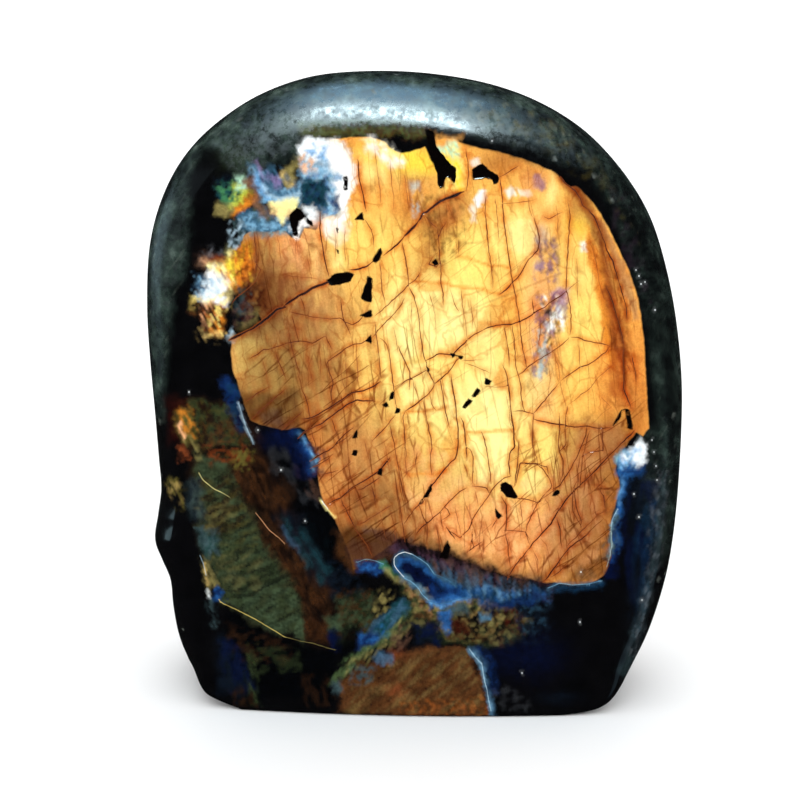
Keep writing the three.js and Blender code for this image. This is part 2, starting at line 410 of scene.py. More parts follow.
# %% Upright cracks of the middle
MIDDLE_CRACKS = """
hair 375,322 376,335 378,345 379,357 380,368 381,378
380,338 386,343 389,352 391,365 392,378 394,390 395,400 397,410
faint 394,328 396,340 398,352
412,378 415,388 418,396
461,290 462,302 464,315 466,325 467,340
450,288 453,300 459,313
429,292 432,302 435,315 436,330
hair 426,362 428,370 431,378 435,384
405,411 403,416 404,430 405,445 407,457
440,380 442,390 444,402 446,413 449,427
crack 461,418 464,424 465,435 466,447 467,460
hair 466,447 471,450 473,456 473,465 472,485
504,327 507,340 509,355 509,367
512,325 514,340 515,355 516,368 519,377 521,385 521,395 523,408 525,411
crack 503,365 507,375 508,385 510,397 511,410 513,425 514,440 515,447 510,452 509,462 510,475
faint 506,395 509,410 511,428
484,386 496,387 508,386
460,360 472,361 483,359
465,363 475,366 490,373
hair 423,402 425,410 427,420 431,440 432,448 430,455 432,474
430,397 432,405 436,410
532,300 533,308 534,314
faint 554,351 556,360 559,368 560,378 561,388 564,398 566,407
579,346 580,367
hair 513,411 522,411 530,413 534,414
516,498 530,500 538,503 542,500
505,530 516,531 526,532 530,540
472,486 486,488 490,494
442,520 450,515 446,508
448,530 460,538 468,530 472,524 472,518
468,552 476,546 483,541
faint 470,554 471,542 473,534
hair 582,528 573,512 573,488 578,480
602,428 603,450 588,453 580,458
580,488 582,460 589,432
598,486 604,498 605,508
515,486 518,474 520,463 538,464 547,467 549,474
398,346 404,360 410,372 409,388
341,300 343,318 350,334
288,327 291,345 296,362 300,376
534,414 533,420 532,445 535,452 537,459 538,465
crack 533,419 545,422 555,424 563,425 575,427 587,426 597,428 610,428
hair 395,415 390,422 385,428 380,433 373,440
390,424 393,438 396,455 399,470 402,485 404,500
396,480 398,495 401,512 403,527 405,542
faint 404,447 406,467 408,478
hair 482,433 485,441 487,452 489,465 491,483
519,440 518,460 516,475 514,487
525,464 532,464 538,465 544,470 549,478 552,487 546,493
559,415 560,430 558,445 560,453 563,460 563,473 561,480
566,415 565,430 566,445 560,452
crack 587,425 586,435 582,445 578,455 573,465 567,475 560,485 552,490
hair 580,455 578,470 579,485
faint 603,425 603,440 604,452
585,455 592,452 600,452
600,480 603,490 605,500 606,512
crack 331,418 334,426 337,436
faint 345,360 347,375 346,392
356,352 358,368 357,385
540,318 541,330 538,346
549,364 550,380 548,396
470,300 473,318 472,330
412,300 411,318 413,334
"""

# %% Upright cracks of the left side and the foot of the golden face
LOWER_CRACKS = """
hair 292,315 294,325 297,335 299,342
faint 266,335 268,345
hair 275,350 278,360 283,372 286,380
297,372 300,380 303,392 307,402 309,412 311,430 313,437 315,443 317,455
faint 375,401 367,408 366,414
348,456 350,462 346,466 342,469 344,475
hair 349,468 351,478 352,486
crack 341,499 344,506 348,514 352,522 356,530 362,538 368,547 372,556
hair 360,492 361,500 364,507
371,485 374,495 376,507
faint 338,515 340,524
475,490 479,508
469,502 470,512 471,520
hair 472,530 472,540 474,548
crack 502,497 506,505 507,517 506,527 505,533
hair 505,533 508,545 508,555 511,567
419,505 422,515 427,523 427,545
faint 427,498 429,508 432,515
hair 436,525 438,535 440,550
440,512 441,520 443,528
crack 574,485 575,497 577,510 581,520 581,528
557,520 560,528 561,540 562,548
faint 544,497 548,503 550,512
540,537 546,545 549,555
533,550 538,560 538,572
384,440 387,456 389,470
364,440 368,455 371,468
318,345 321,362 320,380
310,352 309,366 313,384
340,362 342,378 345,390
262,358 266,372 268,386
480,520 484,538 483,556
520,500 522,520 521,540
592,490 590,508 594,524
455,505 457,520 462,536
414,510 416,528 415,540
390,510 394,526 396,540
378,505 382,522 386,538
crack 465,466 467,471 467,476
444,507 447,509 449,512
strong 447,528 451,534 455,539
crack 497,520 494,524 492,527
425,499 422,504 419,505
hair 415,467 416,460 417,453
faint 600,395 606,402 612,408
"""

# %% [markdown]
# Pits are places where a grain fell out along a crack. They are drawn as closed outlines, and later their
# floors are sunk into the stone. The edge of the golden fire is drawn too, because the fire ends there as
# sharply as a cut, and the mesh needs a line to end it on.

# %% Pits, and the edge of the golden fire
PITS = """
327,280 333,275 339,273 347,272 354,275 350,281 340,284 330,285
368,277 372,278 371,302 361,299 364,288
360,316 367,312 371,310 371,317
366,341 371,336 371,343
355,219 362,213 364,220
372,262 376,254 380,248 382,253 381,258 377,262
426,130 434,132 436,147 444,156 451,165 456,168 456,175 454,184 450,178 446,176 444,183 440,189 438,183 \
437,172 432,160 429,147
472,170 477,166 482,164 489,170 499,177 498,183 494,184 492,179 485,178 474,180
290,215 297,208 303,213 304,218 298,221 297,228 298,236 294,235 291,225
308,219 313,222 312,226 308,223
344,177 347,177 347,190 344,190
450,353 456,354 453,358
458,356 463,357 461,360
427,367 430,369 428,372
485,379 492,381 489,385 485,384
478,388 481,390 475,397 472,396
469,399 473,401 466,408 462,407
396,408 400,409 399,413 395,413
389,400 391,393 394,391 394,398
383,405 386,402 388,405 385,408
353,438 354,432 357,430 357,438
352,455 354,450 357,451 356,456
377,474 379,469 382,468 382,475
431,484 432,489 428,497 424,498 427,491
424,499 421,504 419,504 421,500
448,541 450,548 447,558 440,558 445,547
496,509 499,512 502,516 498,519 496,515
501,484 505,482 512,486 517,497 515,499 508,497 501,490
553,496 555,492 558,490 560,493 556,496
625,409 629,409 633,428 628,428
614,425 618,415 622,410 619,420
432,262 436,259 439,264 434,266
336,228 338,229 337,232
337,250 339,251 338,254
"""
GOLD_EDGE = """
330,140 345,138 360,137 370,137 385,142 392,150 402,153 410,152 425,147 431,160 437,172 438,186 444,188
446,178 453,186 457,178 456,168 444,156 437,146 437,140 446,138 455,140 467,145 480,148 500,152 515,157
530,161 545,168 556,173 562,180 570,187 576,186 583,192 590,200 597,208 604,220 612,235 620,252 628,268
633,283 638,298 641,318 644,340 646,380 648,410 649,428 643,436 636,432 625,447 618,457 616,470 619,480
620,490 617,500 614,510 611,520 612,535 613,548 611,560 606,572 598,580 585,584 570,585 555,582 545,583
530,580 515,578 500,575 490,572 475,566 460,560 450,556 435,551 420,547 410,545 402,541 390,546 375,556
354,570 350,556 347,548 343,537 338,527 335,520 330,512 323,500 320,490 318,475 316,455 313,447 309,440
305,430 300,427 282,430 262,425 250,420 246,410 243,400 240,392 237,380 233,372 231,355 232,338 243,332
252,328 262,321 258,312 246,300 240,292 236,280 234,262 240,250 244,235 252,231 270,232 285,230 292,238
300,238 304,228 316,230 324,218 336,214 346,205 350,190 352,170 345,152
"""
# Bright specks, as a radius and the places, and then healed cracks that shine, as a pigment, a strength in
# percent and the places.
SPECKS = """
1.3 281,470 305,521 189,392 655,310 581,572 580,622 522,673 639,276 641,284 524,97 634,494 639,517
1.0 346,278 645,282 636,270 642,600 492,141 652,440 654,452 656,466 657,480 330,504 258,430
"""
HAIRLINES = """
cream 60 199,473 203,480 208,484 211,487 216,490 221,492
cream 35 223,493 229,497
peach 60 256,513 263,522 270,531 278,537 284,543
straw 60 220,601 224,604 235,609 245,614 255,619 265,625 275,631 285,637
khaki 60 285,637 300,641 312,643 325,647 335,650
ice 90 322,501 325,505 328,509
frost 40 239,404 242,414 246,426 250,436 253,442
ice 85 404,577 398,571 394,565 394,558 398,554 404,552 412,554
haze 70 412,554 420,559 428,565 434,574
dusk 70 434,574 440,576 448,580 455,586
haze 80 404,578 412,582 418,588 422,594 428,600
dusk 80 428,601 438,604 448,602 458,599 468,597
haze 60 548,588 560,583 572,585 588,584 600,581
frost 60 607,566 610,556 612,544 611,530 612,520 617,510
haze 50 358,562 366,559 376,561 383,564
frost 80 470,650 475,657 482,664 484,678 487,690 489,702 491,711
frost 50 200,556 203,563 206,574
"""
CRACKS = "\n".join((UPPER_LEFT_CRACKS, UPPER_RIGHT_CRACKS, DIAGONAL_CRACKS, MIDDLE_CRACKS, LOWER_CRACKS))


def places(text):
    """The places of one drawn line, as an array of pixels."""
    return np.array([[float(c) for c in pair.split(",")] for pair in text.split()])


def drawn_lines(text, kinds=()):
    """Each drawn line as its words and its places. A row without its kind has the kind of the row above."""
    kind = None
    for row in filter(str.strip, text.splitlines()):
        words = row.split()
        head = [word for word in words if "," not in word]
        line = places(" ".join(words[len(head):]))
        if head and head[0] in kinds:
            kind = head.pop(0)
        yield ([kind, *head] if kinds else head), line


cracks = [(kind, line) for (kind,), line in drawn_lines(CRACKS, CRACK_KINDS)]
pits = [line for _, line in drawn_lines(PITS)]
gold_edge = places(GOLD_EDGE)
hairlines = [(pigment, float(strength), line) for (pigment, strength), line in drawn_lines(HAIRLINES)]
specks = [(float(radius), middle) for (radius,), middles in drawn_lines(SPECKS) for middle in middles]
print(len(cracks), "cracks,", len(pits), "pits,", len(hairlines), "hairlines,", len(specks), "specks")

# %% [markdown]
# ## From lines to a mesh
# A crack a tenth of a millimetre wide would need millions of even faces. Instead the mesh is dense only where
# the drawing needs it: each crack gets a row of points along its middle and one along each side, and a
# Delaunay triangulation joins all the points, keeping the middle row as edges. The pattern is laid on the
# stone's true shape, so a place of the drawing is first turned into a place in the outline's plane.

# %% Points along the drawn lines
PIXEL = VIEW_DISTANCE / FOCAL
PATH_STEP, WOBBLE, WOBBLE_LENGTH = 2.4, 0.7, 5.0
WAVE_SEED = 3.7
# Where a path's half width is less than this, in pixels, it has no rows beside it.
THINNEST = 0.3


def wander(at, length, seed):
    """Smooth noise from -1 to 1 at places of the drawing, the same on every run."""
    return np.array([noise.noise((x / length, y / length, seed)) for x, y in at])


def wobbled(line, closed=False, wobble=WOBBLE):
    """A drawn line in short even steps, moved off its straight stretches by a slight natural wobble."""
    if closed:
        line = np.vstack([line, line[:1]])
    run = np.concatenate([[0], np.cumsum(np.linalg.norm(np.diff(line, axis=0), axis=1))])
    steps = np.linspace(0, run[-1], max(2, round(run[-1] / PATH_STEP) + 1))
    at = np.stack([np.interp(steps, run, line[:, k]) for k in (0, 1)], axis=1)
    if closed:
        at = at[:-1]
    off = [wander(at, WOBBLE_LENGTH, WAVE_SEED), wander(at, WOBBLE_LENGTH, -WAVE_SEED)]
    return at + wobble * np.stack(off, axis=1)


def square_to(at, closed=False):
    """The direction square to a path at each of its points."""
    run = np.roll(at, -1, axis=0) - np.roll(at, 1, axis=0) if closed else np.gradient(at, axis=0)
    run = run / np.linalg.norm(run, axis=1, keepdims=True)
    return np.stack([-run[:, 1], run[:, 0]], axis=1)


class Rows:
    """Points and edges of the drawing that the mesh has to keep, with the points beside them."""

    def __init__(self):
        self.middle, self.edges, self.beside, self.clear = [], [], [], []

    def add(self, at, half_width=None, closed=False):
        """A row along a path, and one on each side of it where it has a width. Everything is in pixels."""
        start, last = sum(map(len, self.middle)), len(at) if closed else len(at) - 1
        self.middle.append(at)
        self.edges += [(start + k, start + (k + 1) % len(at)) for k in range(last)]
        if half_width is None:
            return
        wide = np.broadcast_to(half_width, len(at))
        shown = wide > THINNEST
        for side in (-1, 1):
            self.beside.append((at + side * square_to(at, closed) * wide[:, None])[shown])
            self.clear.append(wide[shown])


# %% [markdown]
# A real crack varies on its way and runs out to nothing at its ends, so its width and strength do too.

# %% Cracks, pits and the edge of the gold as rows
STRENGTH_LENGTH, STRENGTH_SEED, TAPER_LENGTH, STRENGTH_AT_END = 14.0, 11.3, 9.0, 0.35
WIDTH_VARIES, STRENGTH_VARIES = 0.35, 0.25
GOLD_EDGE_BLUR = 0.9
PIT_WALL, PIT_WOBBLE, WALL_LIMIT = 1.1, 1.1, 0.45
HAIRLINE_HALF_WIDTH, HAIRLINE_WOBBLE = 0.6, 0.3
SPECK_CORNERS = 6

rows = Rows()
crack_paths = []
for kind, line in cracks:
    half_width, strength = CRACK_KINDS[kind]
    path = wobbled(line)
    to_end = PATH_STEP * (1 + np.minimum(np.arange(len(path)), np.arange(len(path))[::-1]))
    taper = np.clip(to_end / TAPER_LENGTH, 0, 1) ** 0.5
    vary = wander(path, STRENGTH_LENGTH, STRENGTH_SEED)
    widths = half_width * taper * (1 + WIDTH_VARIES * vary)
    rows.add(path, widths)
    tapered = strength * (STRENGTH_AT_END + (1 - STRENGTH_AT_END) * taper)
    crack_paths.append((path, widths, tapered * (1 + STRENGTH_VARIES * vary)))
gold_edge = wobbled(gold_edge, closed=True)
rows.add(gold_edge, GOLD_EDGE_BLUR, closed=True)
pit_rims = [wobbled(line, closed=True, wobble=PIT_WOBBLE) for line in pits]
for pit in pit_rims:
    middle = pit.mean(axis=0)
    inward = middle - pit
    length = np.linalg.norm(inward, axis=1, keepdims=True)
    rows.add(pit, closed=True)
    rows.add(pit + inward / length * np.minimum(PIT_WALL, WALL_LIMIT * length), closed=True)
for k, (pigment, strength, line) in enumerate(hairlines):
    hairlines[k] = pigment, strength, wobbled(line, wobble=HAIRLINE_WOBBLE)
    rows.add(hairlines[k][2], HAIRLINE_HALF_WIDTH)
corner_angles = np.arange(SPECK_CORNERS) * 2 * np.pi / SPECK_CORNERS
for radius, middle in specks:
    rows.add(middle[None])
    rows.add(middle + radius * np.stack([np.cos(corner_angles), np.sin(corner_angles)], axis=1), closed=True)
print(sum(map(len, rows.middle)), "points on rows,", sum(map(len, rows.beside)), "beside them")

# %% [markdown]
# The rounded edge, the wall and the back's rounded edge are plain rings of quads, because nothing fine is
# drawn there. The first and the last ring are also the borders of the two flats.

# %% The rings round the edge
COLUMNS = 600
FRONT_SPLIT, BACK_SPLIT = 0.75, 0.6
FRONT_RINGS, WALL_RINGS, BACK_RINGS = 12, 10, 13

spots = np.linspace(0, outline_lengths[-1], COLUMNS, endpoint=False)
closed_outline = np.vstack([outline, outline[:1]])
column = np.stack([np.interp(spots, outline_lengths, closed_outline[:, k]) for k in (0, 1)], axis=1)


def ring_plans(side, split, count):
    """Rings of an edge's rounding, from the flat's border out to the outline, in the outline's plane."""
    first = math.asin(split ** (EDGE_FULLNESS / 2)) / (math.pi / 2)
    turned = np.sin(np.linspace(first, 1, count) * math.pi / 2) ** (2 / EDGE_FULLNESS)
    inset = by_angle(*column.T, rounding[side]["inset"]) * (1 - turned[:, None])
    toward = (FACE_MIDDLE - column) / np.linalg.norm(FACE_MIDDLE - column, axis=1, keepdims=True)
    return column + toward * inset[:, :, None]


front_plans = ring_plans("front", FRONT_SPLIT, FRONT_RINGS)
back_plans = ring_plans("back", BACK_SPLIT, BACK_RINGS)
wall_front, wall_back = true_surface(*column.T)[0], true_surface(*column.T, "back")[0]
rings = [surface(*plan.T) for plan in front_plans]
for k in range(1, WALL_RINGS):
    wall_depth = wall_front + (wall_back - wall_front) * k / WALL_RINGS
    rings.append(settle(column[:, 0], wall_depth, column[:, 1], 1))
rings += [surface(*plan.T, "back") for plan in back_plans[::-1]]
print(len(rings), "rings of", COLUMNS, "points")

# %% [markdown]
# The rest of the face needs an even net. Its points lie on a honeycomb, thinned out where a row is near, so
# that no face is a sliver.

# %% Triangulating the two flats
FACE_SPACING, BACK_SPACING = 0.36, 1.0
CLEAR_OF_ROW, CLEAR_OF_BORDER, CLEAR_OF_CRACK = 0.55, 0.7, 0.7
HONEYCOMB_RISE = math.sqrt(3) / 2
ALL_TRIANGLES, SAME_POINT = 0, 1e-5


def reach_of(border, at):
    """How far a closed border of straight stretches is from the face's middle, in each point's direction."""
    order = np.argsort(np.arctan2(*(border - FACE_MIDDLE).T[::-1]))
    corners = border[order] - FACE_MIDDLE
    toward = (at - FACE_MIDDLE) / np.linalg.norm(at - FACE_MIDDLE, axis=1, keepdims=True)
    angles = np.arctan2(corners[:, 1], corners[:, 0])
    after = np.searchsorted(angles, np.arctan2(toward[:, 1], toward[:, 0])) % len(angles)
    a, b = corners[after - 1], corners[after]
    run = b - a
    return (a[:, 0] * run[:, 1] - a[:, 1] * run[:, 0]) / (toward[:, 0] * run[:, 1] - toward[:, 1] * run[:, 0])


def is_within(border, at, margin=0.0):
    """Which points are inside a border by this margin."""
    return np.hypot(*(at - FACE_MIDDLE).T) < reach_of(border, at) - margin


def honeycomb(border, spacing):
    """Points of an even net inside a border."""
    low, high = border.min(axis=0), border.max(axis=0)
    rise = spacing * HONEYCOMB_RISE
    x, row = np.meshgrid(np.arange(low[0], high[0], spacing), np.arange((high[1] - low[1]) / rise))
    net = np.stack([x + spacing / 2 * (row % 2), low[1] + row * rise], axis=-1).reshape(-1, 2)
    return net[is_within(border, net, CLEAR_OF_BORDER * spacing)]


def clear_of(points, others, distance):
    """The points that keep their distance from all the others."""
    tree = kdtree.KDTree(len(others))
    for k, (x, z) in enumerate(others):
        tree.insert((x, z, 0), k)
    tree.balance()
    return points[np.array([tree.find((x, z, 0))[2] for x, z in points]) > distance]


def triangulate(border, inner, edges=()):
    """Joins a border and inner points. Gives the inner points, and triangles that count the border first."""
    count = len(border)
    points = [Vector(p) for p in np.vstack([border, inner])]
    kept = [(k, (k + 1) % count) for k in range(count)] + [(a + count, b + count) for a, b in edges]
    placed, _, triangles, sources, *_ = delaunay_2d_cdt(points, kept, [], ALL_TRIANGLES, SAME_POINT)
    placed, triangles = np.array([tuple(p) for p in placed]), np.array(triangles)
    triangles = triangles[is_within(border, placed[triangles].mean(axis=1))]
    number = np.full(len(placed), -1)
    for k, source in enumerate(sources):
        on_border = [s for s in source if s < count]
        if on_border:
            number[k] = on_border[0]
    free = np.flatnonzero(number < 0)
    number[free] = count + np.arange(len(free))
    return placed[free], number[triangles]


border, far_border = front_plans[0], back_plans[0]
middles, besides = on_stone(np.vstack(rows.middle)), on_stone(np.vstack(rows.beside))
kept = is_within(border, middles, CLEAR_OF_BORDER * FACE_SPACING)
renumbered = np.cumsum(kept) - 1
kept_edges = [(renumbered[a], renumbered[b]) for a, b in rows.edges if kept[a] and kept[b]]
inside = is_within(border, besides, CLEAR_OF_BORDER * FACE_SPACING)
needed = CLEAR_OF_CRACK * PIXEL * np.concatenate(rows.clear)[inside]
besides = clear_of(besides[inside], middles[kept], needed)
drawn_points = np.vstack([middles[kept], besides])
net = clear_of(honeycomb(border, FACE_SPACING), drawn_points, CLEAR_OF_ROW * FACE_SPACING)
face_plan, face_triangles = triangulate(border, np.vstack([drawn_points, net]), kept_edges)
back_plan, back_triangles = triangulate(far_border, honeycomb(far_border, BACK_SPACING))
print(len(face_triangles), "triangles on the face,", len(back_triangles), "on the back")

# %% [markdown]
# The pits are sunk before the parts are joined: a point inside a pit's outline goes down by the pit's depth,
# in proportion to how far it is from the rim, so the second row inside each rim becomes the foot of a steep
# wall.

# %% Sinking the pits
PIT_DEPTH, PIT_DEPTH_PER_WIDTH = 0.1, 0.04
# A pit's floor has this share of its depth at the wall, and the rest towards the middle.
FLOOR_AT_WALL, FLOOR_DISHED = 0.8, 0.2
# Points this near a rim, in pixels, share this much of the pit's darkness.
ON_RIM, RIM_MASK = 0.3, 0.4
NO_LENGTH = 1e-9


def distance_to(line, at, closed=False):
    """How far places of the drawing are from a drawn line, in pixels."""
    ends = np.roll(line, -1, axis=0) if closed else line[1:]
    best = np.full(len(at), np.inf)
    for a, b in zip(line, ends):
        run = b - a
        share = np.clip((at - a) @ run / max(run @ run, NO_LENGTH), 0, 1)
        best = np.minimum(best, np.hypot(*(at - a - share[:, None] * run).T))
    return best


def is_inside(outline, at):
    """Which places of the drawing are inside an outline: those with an odd number of edges to their right."""
    odd = np.zeros(len(at), bool)
    for a, b in zip(outline, np.roll(outline, -1, axis=0)):
        if a[1] != b[1]:
            crosses = (a[1] > at[:, 1]) != (b[1] > at[:, 1])
            odd ^= crosses & (at[:, 0] < a[0] + (at[:, 1] - a[1]) * (b[0] - a[0]) / (b[1] - a[1]))
    return odd


def depth_inside(outline, at):
    """How far places are inside an outline, in pixels. It is less than nothing for those outside."""
    return distance_to(outline, at, closed=True) * np.where(is_inside(outline, at), 1, -1)


def near(line, at, margin):
    """Numbers of the places that are within a margin of a drawn line's box."""
    low, high = line.min(axis=0) - margin, line.max(axis=0) + margin
    return np.flatnonzero(((at > low) & (at < high)).all(axis=1))


drawn = pattern_place(*face_plan.T)
pit_depth, pit_mask = np.zeros(len(drawn)), np.zeros(len(drawn))
for pit in pit_rims:
    here = near(pit, drawn, 0)
    here = here[is_inside(pit, drawn[here])]
    from_rim = distance_to(pit, drawn[here], closed=True)
    depth = min(PIT_DEPTH, PIT_DEPTH_PER_WIDTH * np.ptp(pit, axis=0).min() * PIXEL)
    wall_share = np.clip(from_rim / PIT_WALL, 0, 1)
    pit_floor = FLOOR_AT_WALL + FLOOR_DISHED * from_rim / max(from_rim.max(), 1)
    pit_depth[here] = np.maximum(pit_depth[here], depth * wall_share * pit_floor)
    pit_mask[here] = np.maximum(pit_mask[here], wall_share)
    on_rim = near(pit, drawn, ON_RIM)
    on_rim = on_rim[distance_to(pit, drawn[on_rim], closed=True) < ON_RIM]
    pit_mask[on_rim] = np.maximum(pit_mask[on_rim], RIM_MASK)
print("deepest pit:", round(pit_depth.max(), 2), "mm")

# %% [markdown]
# The flats and the rings share their border points, so they are joined by numbering alone. Merging by
# distance could also close the narrow rows along a crack.

# %% Joining the parts into the stone
face_points, back_points = surface(*face_plan.T), surface(*back_plan.T, "back")
face_points[:, 1] += pit_depth
vertices = np.vstack([*rings, face_points, back_points]) + CENTRING
this, after = np.arange(COLUMNS), np.roll(np.arange(COLUMNS), -1)
last_ring = (len(rings) - 1) * COLUMNS
faces = []
for ring in range(0, last_ring, COLUMNS):
    corners = ring + this, ring + COLUMNS + this, ring + COLUMNS + after, ring + after
    faces += np.stack(corners, axis=1).tolist()
# The triangles of a flat count its border first, which is the first ring for the face and the last for the
# back, and then the points inside.
faces += np.where(face_triangles < COLUMNS, face_triangles, face_triangles + last_ring).tolist()
inside_back = back_triangles + last_ring + len(face_points)
back_numbers = np.where(back_triangles < COLUMNS, back_triangles + last_ring, inside_back)
faces += back_numbers[:, ::-1].tolist()
skin = bpy.data.meshes.new("stone_skin")
skin.from_pydata((vertices * MM).tolist(), [], faces)
skin.update()
low, high = vertices.min(axis=0).round(2), vertices.max(axis=0).round(2)
print("stone:", len(vertices), "points, low", low, "high", high)

# %% [markdown]
# ## Painting the fire
# The fire isn't a coating: it comes from layers inside the stone, and its colour follows their thickness. It
# has no outline that a texture would give, so it is painted, as in Vertex Paint. A pigment is a colour by
# name. A glow is a soft ellipse, a patch is a closed outline, a dapple fills an outline with blotches, a
# fibre with leaning blotches, and a stroke is a line with a width. Each row of a table says its kind, where
# that changes, then pigment, strength in percent and sizes, then the places. Later rows lie over earlier
# ones, and noise roughens every edge, because no grain of the stone has a clean border.

# %% Pigments, as they look on the stone
PIGMENTS = {
    "cream": (255, 244, 160), "straw": (254, 226, 122), "lemon": (248, 222, 60), "wheat": (226, 192, 116),
    "honey": (240, 170, 84), "amber": (218, 130, 36), "peach": (238, 176, 126), "tan": (186, 136, 90),
    "khaki": (140, 128, 74), "copper": (176, 92, 34), "brick": (140, 70, 36), "rust": (116, 50, 18),
    "russet": (86, 52, 26), "earth": (60, 34, 15), "umber": (74, 44, 20), "bark": (34, 20, 11),
    "oxblood": (52, 12, 6), "night": (2, 3, 5), "ink": (10, 18, 28), "ice": (244, 252, 255),
    "frost": (176, 206, 224), "sky": (104, 168, 222), "azure": (34, 88, 150), "steel": (62, 96, 124),
    "cobalt": (14, 42, 92), "navy": (5, 14, 46), "lilac": (188, 162, 226), "violet": (108, 84, 150),
    "plum": (60, 40, 58), "mint": (190, 240, 208), "leaf": (66, 128, 84), "fern": (84, 108, 66),
    "lime": (190, 200, 70), "olive": (92, 84, 36), "moss": (42, 52, 30), "pane": (46, 56, 36),
    "sage": (58, 74, 52), "slate": (56, 76, 80), "teal": (22, 66, 74), "smoke": (92, 96, 102),
    "white": (255, 254, 250), "haze": (122, 172, 204), "dusk": (58, 100, 128), "deep": (16, 48, 76),
    "clay": (118, 84, 66),
}
SRGB_KNEE, SRGB_SLOPE, SRGB_LIFT, SRGB_POWER = 0.04045, 12.92, 0.055, 2.4


def linear(colour):
    """A colour as it is seen on a screen, from 0 to 255, as the amounts of light that Blender works with."""
    c = np.array(colour) / 255
    return np.where(c <= SRGB_KNEE, c / SRGB_SLOPE, ((c + SRGB_LIFT) / (1 + SRGB_LIFT)) ** SRGB_POWER)


PIGMENTS = {name: linear(colour) for name, colour in PIGMENTS.items()}
print(len(PIGMENTS), "pigments")

# %% A canvas of points to paint on
# Waves that roughen every edge: height and length in pixels, and seed.
ROUGHENING = ((2.6, 15.0, 5.1), (2.0, 7.0, 8.6), (1.4, 3.6, 2.3), (0.8, 2.2, 4.9))
DAPPLE_SOFTNESS, DAPPLE_BORDER = 0.3, 3.0
FIRST_SEED, SEED_STEP = 20.5, 1.7
# A blotch is made of waves of these shares of its size, with these heights.
DAPPLE_WAVES = ((1.0, 1.0), (0.5, 0.5))
# The mesh can hold no wave that is shorter than this, in pixels.
FINEST_WAVE = 2.6
# A glow ends at this many times its size.
GLOW_REACH = 2.2
# A line that is narrower than this, in pixels, gets less of the roughening.
FULLY_ROUGH_WIDTH = 6.0


class Canvas:
    """Colours and their cover at places of the drawing."""

    def __init__(self, at, ragged=1.0):
        self.at, self.rough, self.fibres = at, at.copy(), 0
        for height, length, seed in ROUGHENING:
            waves = wander(at, length, seed), wander(at, length, -seed)
            self.rough += ragged * height * np.stack(waves, axis=1)
        self.colour, self.cover = np.zeros((len(at), 3)), np.zeros(len(at))

    def lay(self, pigment, here, amount):
        self.colour[here] += (PIGMENTS[pigment] - self.colour[here]) * amount[:, None]
        self.cover[here] += (1 - self.cover[here]) * amount

    def glow(self, pigment, strength, wide, tall, middles):
        for middle in middles:
            here = near(middle[None], self.rough, GLOW_REACH * max(wide, tall))
            off = (self.rough[here] - middle) / (wide, tall)
            self.lay(pigment, here, strength / 100 * np.exp(-(off**2).sum(axis=1)))

    def within(self, outline, blur):
        """The points in and near an outline, and how far each is inside it, from 0 to 1."""
        here = near(outline, self.rough, blur)
        return here, smoothstep(depth_inside(outline, self.rough[here]), -blur, blur)

    def patch(self, pigment, strength, blur, outline):
        here, inside = self.within(outline, blur)
        self.lay(pigment, here, strength / 100 * inside)

    def fibre(self, pigment, strength, size, tall, lean, share, outline):
        """Blotches that fill a percentage of an outline, stretched along a line that leans right."""
        self.fibres += 1
        here, inside = self.within(outline, DAPPLE_BORDER)
        turn = math.radians(lean)
        x, y = self.at[here].T
        sideways = x * math.cos(turn) + y * math.sin(turn)
        lengthwise = (x * math.sin(turn) - y * math.cos(turn)) / tall
        stretched, seed = np.stack([sideways, lengthwise], axis=1), FIRST_SEED + self.fibres * SEED_STEP
        blotches = 0
        for part, height in DAPPLE_WAVES:
            blotches = blotches + height * wander(stretched, max(size * part, FINEST_WAVE), seed)
        level = 0.5 - share / 100
        filled = smoothstep(blotches, level - DAPPLE_SOFTNESS, level + DAPPLE_SOFTNESS)
        self.lay(pigment, here, strength / 100 * inside * filled)

    def dapple(self, pigment, strength, size, tall, share, outline):
        """Blotches of a size, stretched upright."""
        self.fibre(pigment, strength, size, tall, 0, share, outline)

    def stroke(self, pigment, strength, blur, width, line, rough=True):
        at = self.at + (self.rough - self.at) * min(1, width / FULLY_ROUGH_WIDTH) * rough
        here = near(line, at, width + blur)
        off = smoothstep(distance_to(line, at[here]), width / 2 - blur, width / 2 + blur)
        self.lay(pigment, here, strength / 100 * (1 - off))


def paint(canvas, table):
    """Lays every row of a table on a canvas."""
    for (kind, pigment, *sizes), line in drawn_lines(table, ("glow", "patch", "dapple", "fibre", "stroke")):
        getattr(canvas, kind)(pigment, *map(float, sizes), line)


# %% [markdown]
# The gold is cream in the middle and copper and rust towards its borders, with a tint of its own in each
# cell between two cracks. So wide glows come first, then cells, then the thin seams.

